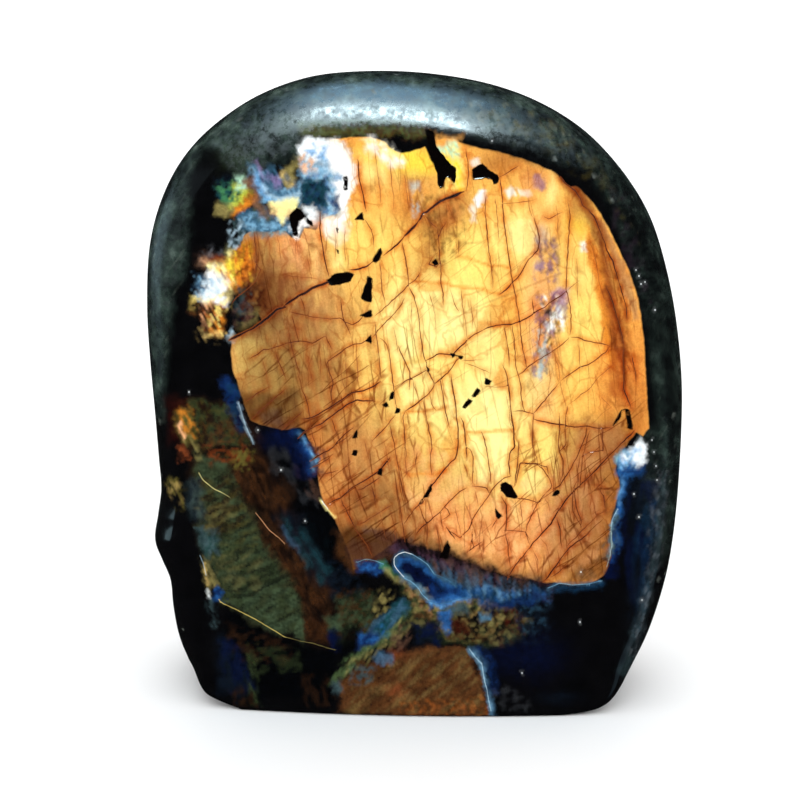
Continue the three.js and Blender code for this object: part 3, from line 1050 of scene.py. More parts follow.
# %% The golden fire
GOLD_GROUND = """
glow tan 75 60 70 290,280 300,370 290,330
tan 60 60 60 350,470 365,520
copper 35 60 60 290,380 340,500
copper 50 36 60 596,520 606,470 590,560
russet 35 30 22 275,290 262,300
umber 35 22 18 272,292
straw 95 66 90 440,320 440,380
cream 60 50 70 440,330
straw 85 60 90 490,400 500,440
straw 60 40 60 460,240 520,235
straw 70 30 60 575,290 580,260
straw 75 22 28 352,240 370,235
straw 50 30 30 395,240 390,165
peach 50 40 40 480,540 440,520 520,550
tan 45 34 40 400,470 450,476 370,440
peach 35 24 40 570,470 560,520
cream 90 34 38 430,325 415,345
cream 85 30 24 440,385 425,395
cream 90 20 34 488,400 492,460 480,360
cream 50 22 28 545,440
cream 60 18 26 518,238
cream 50 16 40 575,300
peach 70 22 20 300,246 312,256
straw 50 24 24 338,250
russet 45 18 30 256,300
cream 95 40 30 430,322
cream 60 16 18 500,240
cream 90 26 22 460,320
straw 70 28 26 420,372 460,368
peach 60 16 90 540,300 540,370
straw 60 16 50 580,320 578,370
straw 60 20 20 500,245
cream 70 26 34 460,410 500,410
straw 50 22 26 540,450 540,490
peach 50 24 24 500,520 535,520
tan 50 24 40 585,500 580,530
tan 60 20 16 418,178 452,212
cream 80 18 16 378,168
copper 40 20 14 500,168 540,176
amber 50 12 50 616,320
lemon 50 12 10 578,226
lemon 55 26 12 405,158 420,165 385,150
wheat 50 22 18 254,356
patch wheat 70 2 236,338 257,338 259,352 250,358 246,372 236,374
cream 75 1.5 434,292 462,295 464,318 462,345 440,350 428,352 424,330 420,310 412,296
cream 80 2 386,300 410,298 418,318 422,352 405,362 390,352 386,330
cream 70 2 402,368 424,364 434,386 424,398 408,404 400,390
cream 80 2 442,382 452,388 455,406 452,430 447,410
cream 65 1.5 470,402 508,395 512,428 500,430 470,431
cream 75 1.5 470,435 511,432 513,446 508,470 490,484 478,486 474,455 468,447
cream 60 1.5 506,222 533,220 538,240 528,256 512,252
straw 55 1.5 443,258 462,259 490,266 491,286 460,286 443,282
cream 45 1.5 526,368 552,358 558,384 545,400 536,412 526,405
straw 50 1.5 536,424 560,427 558,450 540,462 533,450
cream 50 1.5 527,468 545,472 550,486 530,496 520,486
straw 50 1.5 572,290 603,300 606,340 590,340 572,334
cream 35 1.5 510,500 530,508 526,530 510,530
dapple wheat 40 9 1.6 40 240,240 330,240 330,420 250,420
fibre russet 25 7 4 -6 45 240,240 340,230 400,440 400,540 350,560 300,430 250,420
copper 25 9 2.4 -10 40 530,430 640,400 612,560 570,584 480,560 460,500
dapple peach 40 8 1.6 45 410,440 520,480 600,440 600,580 500,580 400,540
fibre amber 20 9 3 -8 40 340,160 590,170 600,400 440,420 360,400
patch amber 55 2 493,381 501,365 508,386 500,389
amber 50 2 453,420 441,446 452,462 458,440
amber 45 2 415,283 440,283 443,292 420,292
rust 50 3 262,272 285,270 300,276 300,292 285,305 266,318 258,306 246,298
glow khaki 45 40 30 280,360 270,400
patch umber 65 6 240,392 262,394 300,390 302,430 262,428 244,414
plum 45 4 256,410 280,408 286,426 262,426
umber 40 5 240,380 252,400 262,425 248,420 236,392
amber 80 3 588,224 604,262 614,300 619,345 616,372 604,350 598,300 586,250
brick 70 3 600,240 612,272 622,320 624,372 612,350 604,290
fibre rust 60 4 6 -14 45 590,225 606,230 628,300 634,400 612,400 604,300
patch tan 85 2 590,206 604,222 620,254 633,285 641,322 634,322 622,285 606,242
copper 60 3 612,350 628,350 630,402 618,410 608,390
copper 45 4 628,330 645,330 648,400 640,430 632,420
honey 60 2 632,330 644,330 646,380 638,384
umber 45 5 596,560 612,540 606,572 585,584 560,586 575,570
dapple earth 50 4 1.5 45 600,470 616,470 612,560 590,584 560,584 596,556 606,520
patch umber 50 5 402,541 450,552 500,572 545,583 545,574 500,565 450,543 402,528
umber 75 9 334,520 352,526 376,532 402,536 402,550 376,562 350,574 338,548
umber 25 14 232,330 300,300 344,340 344,440 300,430 240,420
umber 35 14 556,424 640,410 616,560 590,584 540,580 548,520
glow umber 65 22 24 618,452
umber 25 36 12 490,568 566,572
patch umber 42 10 345,488 392,484 430,520 445,556 400,540 350,560
russet 50 10 236,236 272,240 280,300 278,330 232,345 232,300
glow copper 65 18 18 414,214 456,200
rust 50 24 12 500,160
rust 60 14 18 580,200
stroke bark 75 4 9 466,140 500,147 530,157 556,168 580,186
amber 70 1.6 3 413,282 425,281 440,283 460,287 480,289 495,293 503,294
amber 60 1.4 2.4 459,257 470,258 480,262 490,266 500,266 508,268
amber 70 1.8 3 402,413 415,412 430,410 445,407
amber 65 1.6 2.5 467,432 480,432 500,431 513,430
amber 60 2 4 407,474 420,474 432,474 445,470
amber 50 2 3 480,323 498,325 520,322
amber 50 2.5 4 512,283 505,300 500,318 502,326
copper 40 2.5 4 404,282 402,300 396,318
copper 35 3 8 366,305 372,340 378,380 384,420
copper 30 3 6 300,320 316,400 322,460
rust 70 4 11 566,180 578,192 587,206 594,220 602,240
rust 45 2 5 600,235 612,268 622,305 626,345 624,385
glow rust 50 12 14 440,216 434,232 437,262
dapple earth 60 4 2.4 40 424,196 462,196 466,240 444,262 430,262 420,222
rust 50 4 4 35 408,176 424,178 424,214 410,222
glow copper 50 10 12 425,250 445,225 420,270
stroke oxblood 60 1.3 2 606,286 615,310 622,335 624,360 624,395
patch amber 40 3 494,300 506,296 520,300 522,322 500,326 474,334 466,346 458,344 478,326
glow amber 35 14 8 455,350
patch copper 40 3 601,380 622,380 624,398 604,400
tan 50 6 575,424 620,424 626,440 606,470 580,470
"""

# %% White and violet lights in the golden face
FACE_LIGHTS = """
fibre frost 60 4 4 0 40 410,182 421,182 420,214 411,216
patch ice 90 1.6 478,190 485,188 486,196 480,207 474,206 474,200
ice 60 2 470,206 477,208 476,222 471,222
ice 60 1.6 470,160 478,158 480,166 472,168
ice 75 1.8 505,190 514,188 516,196 508,198
ice 60 2 518,190 530,189 530,195 520,196
glow cream 60 5 18 552,192
patch violet 80 2.2 534,174 542,172 545,188 540,191 533,186
glow peach 40 12 10 532,182
fibre violet 75 5 2.2 -10 45 536,236 558,236 558,284 536,280
plum 60 4 2 -10 40 538,240 560,238 560,270 538,272
glow frost 50 6 10 541,236
violet 40 9 7 560,294
patch lilac 60 2.5 556,288 568,288 569,300 558,304 550,296
fibre ice 95 4.5 2 -15 55 541,296 556,296 566,306 564,330 552,334 544,330
violet 70 4 2.4 10 40 536,296 566,290 570,310 556,340 540,380 530,376
night 85 3.4 2.4 15 30 540,304 552,302 560,330 546,376 536,372
frost 80 4 3 5 45 536,330 548,328 549,350 543,378 536,378 534,352
patch ice 85 1.8 580,243 586,242 587,251 581,252
"""

# %% [markdown]
# Beside the gold lie small grains at other angles. Each flashes in a colour of its own, so each is a patch
# with fibres of other colours over it.

# %% Flashes at the upper left
UPPER_LEFT_FIRE = """
glow moss 50 14 16 236,156
patch dusk 80 5 244,208 262,212 288,220 298,232 262,236 246,236 238,222
fibre haze 75 4 1.6 75 55 244,212 290,216 292,232 246,236
sage 85 5 1.4 20 50 252,204 276,204 282,216 262,222 252,216
patch haze 90 3.5 248,168 262,170 276,186 302,186 300,204 276,207 264,202 254,186
fibre dusk 95 5 2 -30 50 246,164 276,166 300,184 298,198 272,200 254,188
patch deep 70 4 264,170 276,174 281,190 270,194 262,184
fibre lilac 30 7 1.8 -10 40 254,164 268,164 282,174 278,188 262,178
stroke sky 80 3 5 255,174 261,188 268,198
frost 70 2.4 3.4 262,186 268,195 282,199 298,194
khaki 85 2 5 284,182 285,174 291,171 293,178 290,185 285,184
glow wheat 60 4 3 285,176 290,184
stroke khaki 85 3.4 7 290,170 298,163 304,157
patch cream 95 2.6 270,205 282,200 296,198 298,206 291,214 284,222 275,216
glow peach 50 4 4 290,214 274,212
patch ice 98 3 296,146 304,138 318,136 328,142 328,152 318,163 302,160 297,152
fibre sky 80 4 1.6 -50 50 306,146 326,146 326,164 308,160
patch sky 90 3 320,150 329,150 331,178 322,180
white 90 3 327,140 338,138 350,146 357,166 356,190 348,198 337,188 330,170 325,155
frost 80 4 302,160 326,160 346,184 346,214 326,214 302,190
fibre haze 90 5 1.3 -20 55 300,160 330,170 346,184 344,216 322,216 298,184
azure 60 4 1.3 -30 40 300,172 342,176 342,212 318,216 300,190
peach 80 5 1.3 20 55 300,156 312,154 320,168 310,174 300,168
patch deep 97 3.6 302,182 312,180 324,177 328,190 326,206 318,212 308,204 303,196
fibre night 70 4 1.6 20 50 304,182 326,178 326,206 312,208
teal 60 4 1.2 0 50 300,178 328,176 328,208 304,204
patch cobalt 90 3 331,198 339,196 341,208 333,210
ice 90 3 304,204 312,206 320,216 318,226 308,220 303,212
white 98 2.8 334,184 343,178 350,196 347,222 341,220 337,202
white 90 4 320,218 344,214 348,228 344,242 335,246 327,238 320,228
cream 60 5 330,232 347,232 344,266 334,266
white 95 1.8 287,224 291,230 296,239 300,237 303,226 310,222 303,218 297,219 296,226 294,234
peach 50 2.5 310,218 322,224 318,232 308,226
white 85 4 362,138 376,139 400,153 404,166 392,168 380,157 366,148
fibre lemon 60 4 3 -50 45 360,138 404,150 404,168 380,160
patch mint 95 3 439,142 452,140 460,150 458,160 446,156 439,150
lemon 90 3 440,150 458,160 464,178 463,192 457,190 452,172 444,160
amber 80 3 446,176 454,180 454,192 448,190
fibre straw 80 3 2.4 -15 45 438,144 466,150 468,194 446,190
patch honey 60 4 432,134 462,136 458,144 436,144
"""

# %% The little rainbow and the bright grain on the left
LEFT_FIRE = """
patch ink 90 4 216,178 232,175 240,188 234,198 217,198
fibre teal 90 4 1.6 60 55 215,182 238,180 238,198 218,202
leaf 85 4 2 60 50 218,184 242,180 244,202 222,208
patch mint 80 3.4 237,175 243,174 248,186 244,192 238,188
fibre lime 70 4 2 55 50 232,182 252,184 250,198 230,206
stroke lime 90 2.4 5 231,206 240,200 250,191
amber 90 3 7 233,213 243,206 254,196
glow rust 60 6 10 251,186
patch khaki 85 3.4 215,203 230,204 234,212 224,217 216,212
stroke clay 80 4 7 249,180 256,196 262,214
fibre slate 80 4 1.8 10 50 228,220 244,220 242,248 230,250
frost 80 3 1.6 20 35 228,222 244,222 240,248 230,250
smoke 70 4 2 -20 50 201,247 224,247 222,264 202,264
glow clay 90 7 6 208,260
peach 60 4 4 206,262
patch honey 90 4 212,264 228,260 234,276 233,292 222,284
fibre rust 80 3 4 -28 45 206,258 230,254 234,284 214,276
cream 95 3 5 -28 55 206,266 232,264 236,294 214,292
patch lemon 90 3 228,257 233,257 234,282 229,282
glow cream 85 3 5 230,253
patch amber 90 4 233,248 250,242 254,268 243,288 235,292
fibre lemon 60 4 3 0 40 233,246 252,244 252,280 236,290
rust 80 3 3 -5 40 233,246 254,244 254,284 236,292
stroke oxblood 80 1.4 2.2 233,276 240,272 248,267
patch white 95 4.5 206,272 214,268 224,282 229,296 224,304 204,305 198,294
fibre haze 95 4 1.6 -30 50 194,274 212,276 226,298 212,302 195,302
frost 70 3 2 -30 50 196,276 222,278 228,300 200,302
deep 90 4 1.3 -20 40 193,274 207,276 210,298 195,300
glow ice 80 6 5 215,290 214,299
fibre straw 70 5 1.6 60 45 190,297 232,292 231,309 192,309
umber 70 3 1.6 40 40 190,300 206,302 206,320 190,318
patch brick 80 4 202,305 213,305 213,326 204,330
amber 85 4 210,305 223,305 224,328 219,338 209,332
fibre peach 80 3 3 -20 45 200,304 216,304 214,326 202,326
bark 95 3 4 -22 50 196,306 226,304 223,340 202,338
straw 80 2.6 4 -12 40 209,306 224,306 222,336 211,336
wheat 60 5 1.6 110 45 196,330 214,334 224,330 222,342 202,341
patch ink 80 6 230,294 244,288 254,308 238,326
fibre oxblood 90 5 1.6 20 55 236,286 264,280 264,314 242,324
slate 70 4 3 -10 40 234,288 250,286 250,316 238,316
clay 35 6 1.6 45 40 232,304 250,304 254,324 236,330
khaki 35 7 1.8 50 45 238,312 262,308 256,328 240,332
patch frost 80 3 227,335 233,331 236,336 230,341
"""

# %% [markdown]
# At its lower edge the gold gives way to blue, where the layers are thinner, and pale lines mark the border.
# Down the right edge a slate stroke with grey fibres is a painted reflection of a bright surface to the
# right.

# %% The blue and white fringe of the gold, and a painted reflection down the right edge
# Its last rows, a slate stroke and smoke and night fibres down the right rim, paint that reflection.
BLUE_FRINGE_AND_RIGHT_REFLECTION = """
stroke cobalt 95 4 11 226,382 231,394 234,404 237,412
navy 90 5 10 234,404 238,416 242,426
fibre deep 70 5 2 -20 50 222,384 238,384 246,430 234,426
stroke frost 50 1 1.4 239,404 242,414 246,426 250,436 253,442
navy 95 6 16 282,436 296,444 304,456 306,470
cobalt 90 4 10 292,434 302,444 309,456 311,470
azure 80 3 6 298,433 306,443 311,453 313,466
fibre night 60 4 2.4 -30 40 286,428 304,434 316,470 300,474
stroke sky 80 2.4 3.4 301,434 307,443
sky 90 2 3.4 310,448 313,457 314,467
glow navy 80 18 10 280,438
fibre plum 80 5 2.4 -20 50 308,440 324,448 322,486 312,476
stroke cream 90 1.1 1.6 321,500 328,510 334,518
plum 60 4 7 364,531 384,536 402,541
patch umber 75 6 338,530 402,538 398,556 376,566 352,574 340,556
plum 20 5 352,540 400,542 398,554 366,564 350,560
stroke plum 97 5 16 400,545 435,556 470,570 500,580 545,589
bark 80 5 9 404,543 440,554 480,570 512,580 546,587
fibre night 85 3 5 -8 50 396,536 440,546 500,570 550,584 546,594 480,586 400,556
clay 30 5 4 -8 35 424,552 470,566 530,580 530,590 470,586 430,572
smoke 25 5 4 -5 40 428,558 470,570 540,588 530,594 470,588 436,574
steel 50 4 4 -5 40 436,566 480,576 560,588 548,598 470,594 440,580
patch cobalt 95 3 355,564 366,560 380,562 388,570 372,575 357,573
fibre azure 90 4 0.7 0 50 357,564 384,564 384,571 362,572
stroke leaf 60 2.6 5 380,562 388,570 396,576
khaki 70 2.4 4 386,570 394,577 400,580
patch navy 97 3 397,556 408,556 420,562 434,576 455,588 466,596 440,603 426,594 410,578 399,568
cobalt 80 4 428,580 440,584 462,592 458,600 436,602 428,592
fibre night 60 4 1.6 -50 40 400,558 424,564 452,592 430,594
stroke azure 75 2.6 3.6 402,574 398,567 399,560 408,558 422,566 434,578 452,588
dusk 70 2 3 404,577 396,569 394,562 397,556 402,553 412,555 422,561 430,568 434,575 444,579 455,586
haze 60 2.4 3 402,576 412,582 419,589 426,599
dusk 70 3 5 404,579 414,585 422,594 432,602
azure 85 3.4 7 430,602 446,600 462,594 478,592
sky 60 1.6 2.2 428,602 440,606 456,600 470,598
fibre cobalt 70 4 3 80 50 428,588 470,590 480,598 440,606
stroke deep 75 5 11 466,591 490,596 515,597 540,592
fibre azure 50 5 3 -5 45 456,586 500,588 548,588 548,600 470,606
haze 35 5 3 -5 35 452,582 490,588 540,590 520,600 470,596
night 70 3 4 -5 40 500,580 556,584 556,606 500,606
stroke cobalt 60 4 7 484,604 500,607 530,601 540,596
steel 70 1.8 2.6 548,588 560,582 570,584 588,584 600,581
deep 80 4 5 550,591 570,589 590,588 602,584
navy 90 4 10 610,574 616,552 618,534 620,510
cobalt 90 3 5.5 612,560 614,542 615,524 620,504 624,484
fibre azure 40 5 3 10 45 606,556 614,520 620,480 630,480 622,530 616,560
stroke azure 60 3 4 617,520 621,504 624,490 626,470
fibre slate 90 3 3 15 50 603,560 609,520 618,500 618,520 612,560
stroke haze 60 1.4 1.8 607,560 611,545 611,524 617,510
sky 60 2.4 3.4 619,502 622,485 623,470
patch azure 95 4 614,458 628,450 644,464 643,474 620,478
ice 98 2.6 620,456 632,447 640,438 645,441 646,462 640,468 632,462 624,463
fibre haze 90 4 1.4 20 50 614,454 632,448 638,468 618,470
sky 70 6 1.6 30 35 616,452 640,444 640,466 620,470
cobalt 80 4 1.6 60 50 618,464 646,466 644,478 622,480
glow ink 80 12 30 640,500
fibre navy 60 9 4 5 50 628,480 660,480 654,560 640,620 624,580
deep 35 9 4 8 50 640,500 664,490 654,580 636,640 632,560
glow ink 70 8 40 636,590
stroke slate 30 5 9 663,476 660,510 656,540 650,576 642,612 634,648 626,674
fibre smoke 40 3 3 12 40 654,470 670,470 664,540 650,600 636,660 630,650 646,580
night 60 3 3 12 40 652,470 672,470 664,540 650,600 636,660 630,650 646,580
"""

# %% The dark rim next to the gold
RIM_FIRE = """
patch olive 50 3 300,124 340,125 424,128 428,136 340,136 300,134
fibre fern 35 8 0.4 0 50 296,124 340,125 424,128 428,136 340,136 300,134
stroke fern 40 2 3 300,123 350,121 420,124
fibre earth 70 3 0.4 0 40 340,122 430,124 430,138 340,136
dapple khaki 20 8 0.8 35 470,98 560,120 590,156 520,136 460,118
olive 20 9 0.8 40 500,100 600,160 640,240 600,190 520,136
night 60 5 0.8 35 520,100 560,110 640,200 670,300 650,320 600,190 520,130
plum 20 9 1.4 40 600,176 628,200 652,300 640,320 620,250
"""

# %% [markdown]
# Below lies a dull green grain like a pane of glass, between brown seams, and then slanting bands of teal,
# brown and green. They are dim, so they are laid thinly over black, one over another.

# %% The green pane at the lower left
GREEN_PANE = """
patch bark 80 6 176,400 240,400 262,440 300,500 330,560 332,645 262,626 222,600 198,540 188,470
dapple moss 80 6 1.4 45 186,402 240,402 250,446 194,452
olive 20 4 1.2 35 186,402 236,402 250,446 196,452
fibre umber 60 6 1.4 60 40 204,420 246,420 250,446 200,448
patch bark 80 6 226,462 268,456 276,500 300,556 330,590 330,642 304,640 284,570 256,524 236,500
fibre earth 55 6 3 -25 50 222,460 268,456 330,590 330,640 296,640 256,524
russet 20 4 3 -25 35 228,466 262,470 310,570 318,640 300,630 262,530
night 70 6 3 -25 40 240,462 280,462 304,556 334,600 312,640 290,580 256,524
patch pane 80 6 194,452 226,458 234,490 252,512 264,545 290,580 303,612 303,641 262,626 222,600 204,560 \
194,500
fibre sage 50 6 1.8 60 45 194,455 226,462 262,545 300,600 300,640 222,600
bark 75 6 2.4 65 55 196,470 232,476 246,512 236,536 204,536
olive 25 5 2 65 40 198,480 236,480 262,545 230,560 202,540
moss 60 5 3 62 45 200,530 262,545 300,600 300,636 222,600
sage 80 7 2.4 62 40 236,590 290,584 303,612 303,641 262,624
khaki 15 7 2 62 40 214,556 262,552 262,590 224,600
night 50 2.6 7 64 30 196,470 236,470 300,600 300,640 222,600
rust 60 4 2 70 50 206,444 246,444 250,460 208,464
olive 90 4 1.6 40 50 230,450 254,450 250,468 232,468
patch slate 45 5 187,480 199,480 203,506 202,522 190,516
fibre ink 60 4 3 -10 50 186,480 204,480 206,524 190,520
khaki 18 5 1.6 60 40 196,506 232,500 236,530 200,530
patch teal 55 5 197,530 215,530 218,552 204,556
fibre slate 80 4 2 -10 50 196,528 218,530 218,558 202,556
patch oxblood 50 8 166,400 186,400 190,440 172,440
olive 80 4 176,410 190,408 196,438 188,446 180,436
fibre amber 60 5 2 -15 45 176,408 192,408 196,436 182,436
stroke peach 90 1.8 3 180,424 182,432 185,438
fibre khaki 60 3 3 -25 50 184,434 194,438 200,458 192,460
patch brick 80 3 178,448 184,447 187,460 182,462
stroke night 85 1.8 2.6 184,459 200,453 215,449 240,445
fibre olive 70 5 2 -20 45 166,480 182,478 186,508 176,510
wheat 30 5 1.6 -20 35 168,482 180,482 182,500 172,498
stroke night 70 1.8 2.4 216,594 240,590 262,578 283,568
night 70 1.8 2.4 238,598 256,592 270,584 292,574
fibre khaki 60 5 3 -20 45 200,556 212,560 216,586 206,594
stroke wheat 60 1 1.4 204,560 205,574 208,584
ice 70 1.4 1.8 207,590 209,597
patch cobalt 95 2.2 211,590 219,590 223,600 215,601
fibre azure 80 3 1.4 -30 50 210,588 220,588 223,600 214,600
slate 80 3 4 -15 50 208,598 213,600 219,628 213,628
patch night 97 3 226,608 262,629 298,644 336,652 332,700 262,700 226,690
fibre bark 90 7 1.6 70 50 226,622 290,642 290,664 232,660
moss 40 7 1.6 75 50 248,642 300,650 300,670 252,672
patch ink 90 7 216,636 232,640 256,690 236,700 220,692
fibre navy 60 7 2.4 -20 50 214,640 236,640 256,690 228,696
moss 80 4 3 -8 50 246,654 258,658 260,706 250,706
bark 80 5 1.6 -10 50 226,690 256,690 256,708 234,706
bark 80 6 2 -15 55 302,676 330,678 334,706 308,708
"""

# %% The dark lower middle: teal glass, brown streaks and slanting blue and green bands
LOWER_MIDDLE = """
patch ink 85 7 276,516 296,508 322,522 336,556 340,600 318,585 300,552 282,534
fibre teal 35 9 2 -30 45 278,516 322,520 338,560 318,592
stroke steel 40 2.4 4 283,528 288,537 294,545 300,551
patch night 95 5 296,486 312,490 332,520 350,556 362,584 348,588 330,566 306,530 290,505
night 70 6 258,440 300,448 306,470 290,480 268,462
fibre smoke 12 8 1.6 -30 40 266,446 300,452 318,482 318,506 296,500 270,470
clay 20 8 2 -30 45 298,466 318,470 330,508 316,504 304,486
ink 80 6 1.4 40 50 328,556 356,574 372,600 332,600
patch moss 60 6 336,596 374,594 376,636 342,644
fibre earth 60 5 1.6 60 45 334,590 374,592 374,636 340,640
sage 50 4 1.6 50 40 334,600 374,598 374,636 344,640
patch sage 85 4 325,618 338,616 342,630 328,632
navy 95 3.4 328,631 336,628 342,648 332,650
night 90 4 344,626 362,622 360,640 348,658 340,660 342,640
fibre khaki 85 4 2.4 40 50 378,590 394,590 390,606 376,616
patch teal 85 4 374,626 386,612 402,600 414,604 406,618 392,632 378,640 364,642
fibre steel 60 5 4 42 50 366,626 404,600 408,614 374,642
patch cobalt 95 4 357,636 370,629 382,636 374,650 358,652
fibre azure 75 4 2 45 45 358,634 380,626 388,630 364,650
stroke moss 90 3 7 414,608 402,624 386,641 362,656 346,668 338,680
fibre fern 50 4 5 45 50 330,684 340,662 372,644 400,616 420,608 408,628 376,652 344,676
khaki 45 3 5 45 40 342,666 374,648 404,618 420,612 410,632 380,654 346,674
clay 40 5 2 45 50 384,636 408,624 412,640 392,654
patch russet 95 4 340,684 352,672 376,662 405,652 440,646 468,650 480,668 486,700 488,716 440,716 380,716 \
338,712
fibre earth 35 8 4 50 45 345,680 405,656 470,652 486,714 345,714
khaki 20 5 5 50 40 360,676 405,656 470,652 486,714 345,714
bark 40 3 7 55 35 345,680 405,656 470,652 486,714 345,714
glow brick 40 8 6 398,654 396,690
fibre earth 80 5 2 60 50 352,662 404,650 404,668 384,680 354,682
patch steel 75 3 373,658 382,653 393,655 394,662 384,667 375,665
fibre slate 70 5 1.4 60 50 350,668 372,666 372,682 352,684
copper 30 5 1 0 40 400,700 486,698 488,716 400,716
stroke haze 85 2 2.6 470,650 476,658 482,664 484,678 487,690 489,702 492,714
steel 90 3 4 473,650 485,661 487,680 490,694 494,714
cobalt 50 4 7 480,650 491,664 494,690
fibre night 60 3 3 -10 40 468,648 496,660 500,712 484,700
patch slate 85 3 333,680 341,680 342,692 336,696
"""

# %% The mottled yellow band and the dark lower right
MOTTLED_BAND = """
patch moss 85 5 402,578 414,582 434,602 456,602 470,596 490,603 514,612 530,626 512,642 496,646 470,646 \
455,640 425,640 414,616 406,596
dapple khaki 50 7 1 45 400,576 438,602 470,596 530,620 506,646 455,640 418,622
earth 80 6 1.2 45 400,576 438,602 490,603 534,620 506,648 455,640 418,620
wheat 15 5 1 40 400,576 438,602 478,598 512,612 498,640 440,620
tan 30 5 1 40 402,578 420,584 440,604 438,624 420,614
night 90 5 1 40 400,578 420,584 438,606 500,606 524,616 504,646 462,642
patch slate 85 3.4 438,605 466,603 468,612 452,616 440,614
azure 90 3 440,611 451,610 451,628 446,632 441,622
dusk 85 3 478,613 489,612 491,621 480,623
oxblood 85 3.4 452,620 470,621 470,634 454,632
night 97 1.8 469,616 477,615 477,623 471,624
fibre oxblood 90 4 1.2 20 55 506,610 526,614 524,632 508,630
patch ink 90 5 414,622 436,621 442,636 434,646 418,644
fibre navy 80 4 1 0 50 414,622 440,622 440,644 420,644
ink 90 6 1 0 55 514,596 552,592 552,640 520,646
dusk 20 6 1 0 35 508,598 548,594 546,630 520,632
glow navy 50 26 20 535,655
navy 35 14 16 505,655
fibre smoke 12 6 1 0 40 494,686 514,690 530,698 530,710 504,712 494,702
glow ink 60 18 6 560,698
"""

# %% [markdown]
# The fire is painted at every point of the front. The dark ground comes first, then the gold, which has a
# canvas of its own and is kept inside its drawn edge, and the flashes, the blue fringe and a painted
# reflection down the right edge lie over both. Three more canvases say only how much of the grey feldspar,
# and of two sets of hair cracks, shows at each point, because the finish draws those. Along the left edge
# that grey is partly a painted reflection. There frost stands for grey, night for none, and ice for cracks.

# %% Where the grey feldspar and a painted reflection on the left edge show, and where hair cracks run
# Its third row, frost along the left edge, is partly a painted reflection of a bright surface to the left.
FELDSPAR_AND_LEFT_REFLECTION = """
patch frost 95 9 160,190 184,150 228,100 300,58 400,52 500,72 572,108 620,160 600,170 560,160 520,142 \
460,128 400,126 330,128 300,136 296,158 262,166 236,176 216,150
frost 50 8 590,140 640,180 690,260 700,440 664,470 650,330 622,230 596,180
frost 75 6 150,190 186,150 192,200 190,262 176,290 168,340 162,420 130,420 130,200
night 90 6 200,140 216,150 234,180 214,200 206,250 196,300 196,330 180,330 190,240 192,180
frost 35 8 640,430 690,420 690,540 660,560 644,500
glow frost 25 14 10 216,440 220,420
patch night 90 5 424,128 470,130 520,140 560,162 592,200 604,212 580,176 548,152 510,136 470,126 430,126
night 60 8 620,200 640,220 668,300 690,440 672,440 648,300
"""
UPRIGHT_HAIRS = """
patch ice 35 12 236,240 330,140 560,160 640,330 640,440 600,580 400,545 330,500 236,380
ice 60 14 318,340 420,330 430,540 350,540 318,470
ice 50 14 530,430 612,430 612,580 530,580
ice 40 10 244,236 330,236 330,300 244,330
ice 30 12 430,500 530,500 545,584 430,560
ice 35 8 596,240 640,300 640,420 606,400
"""
SLANTING_HAIRS = """
patch ice 80 16 250,350 400,350 420,545 350,545 250,420
ice 80 16 470,560 520,450 640,400 612,560 570,584
ice 30 16 400,230 560,230 560,420 400,420
"""

# %% Painting the stone
GROUND_RAGGED = 1.6
SPECK_STRENGTH, SPECK_ENDS = 0.95, 1.05

front, front_ring_points = np.vstack([*front_plans, face_plan]), FRONT_RINGS * COLUMNS
face_numbers = len(rings) * COLUMNS + np.arange(len(face_plan))
front_numbers = np.concatenate([np.arange(front_ring_points), face_numbers])
at = pattern_place(*front.T)
turned = true_surface(*front.T)[1]

canvas, gold = Canvas(at, ragged=GROUND_RAGGED), Canvas(at)
for table in (RIM_FIRE, GREEN_PANE, LOWER_MIDDLE, MOTTLED_BAND):
    paint(canvas, table)
gold.colour[:], gold.cover[:] = PIGMENTS["honey"], 1
for table in (GOLD_GROUND, FACE_LIGHTS):
    paint(gold, table)
gold_cover = smoothstep(depth_inside(gold_edge, at), -GOLD_EDGE_BLUR, GOLD_EDGE_BLUR)
canvas.colour += (gold.colour - canvas.colour) * gold_cover[:, None]
canvas.cover += (1 - canvas.cover) * gold_cover
for table in (UPPER_LEFT_FIRE, LEFT_FIRE, BLUE_FRINGE_AND_RIGHT_REFLECTION):
    paint(canvas, table)
for pigment, strength, line in hairlines:
    canvas.stroke(pigment, strength, HAIRLINE_HALF_WIDTH / 2, HAIRLINE_HALF_WIDTH, line, rough=False)
for radius, middle in specks:
    here = near(middle[None], at, radius)
    off = np.hypot(*(at[here] - middle).T) / radius
    canvas.lay("ice", here, SPECK_STRENGTH * np.clip(SPECK_ENDS - off, 0, 1))
grey, upright, slanting = Canvas(at), Canvas(at), Canvas(at)
for share, table in ((grey, FELDSPAR_AND_LEFT_REFLECTION), (upright, UPRIGHT_HAIRS), (slanting, SLANTING_HAIRS)):
    paint(share, table)
fire_percent, gold_percent = (round(100 * cover.mean()) for cover in (canvas.cover, gold_cover))
print("fire covers", fire_percent, "% of the front's points, and gold", gold_percent, "%")

# %% [markdown]
# The paint is kept as attributes of the points, which a material reads by name. On the rounded edge it fades
# into the mottled grey of the sides.

# %% Putting the paint on the mesh
SIDE_FELDSPAR, FOOT_FELDSPAR, FOOT_UP_TO, SIDE_FROM = 0.75, 0.4, 20.0, 55.0
# Shares of the edge's turn.
PAINT_FADES_FROM, RIM_FROM, RIM_UNTIL = 0.85, 0.1, 0.8


def store(name, values):
    """Gives each point of the skin a number, or a colour with its cover."""
    kind, field = ("FLOAT_COLOR", "color") if values.ndim == 2 else ("FLOAT", "value")
    skin.attributes.new(name, kind, "POINT").data.foreach_set(field, values.ravel())


def for_all(elsewhere, on_front):
    """A number for every point of the skin, from those of the front and one for elsewhere."""
    values = np.zeros(len(vertices)) + elsewhere
    values[front_numbers] = on_front
    return values


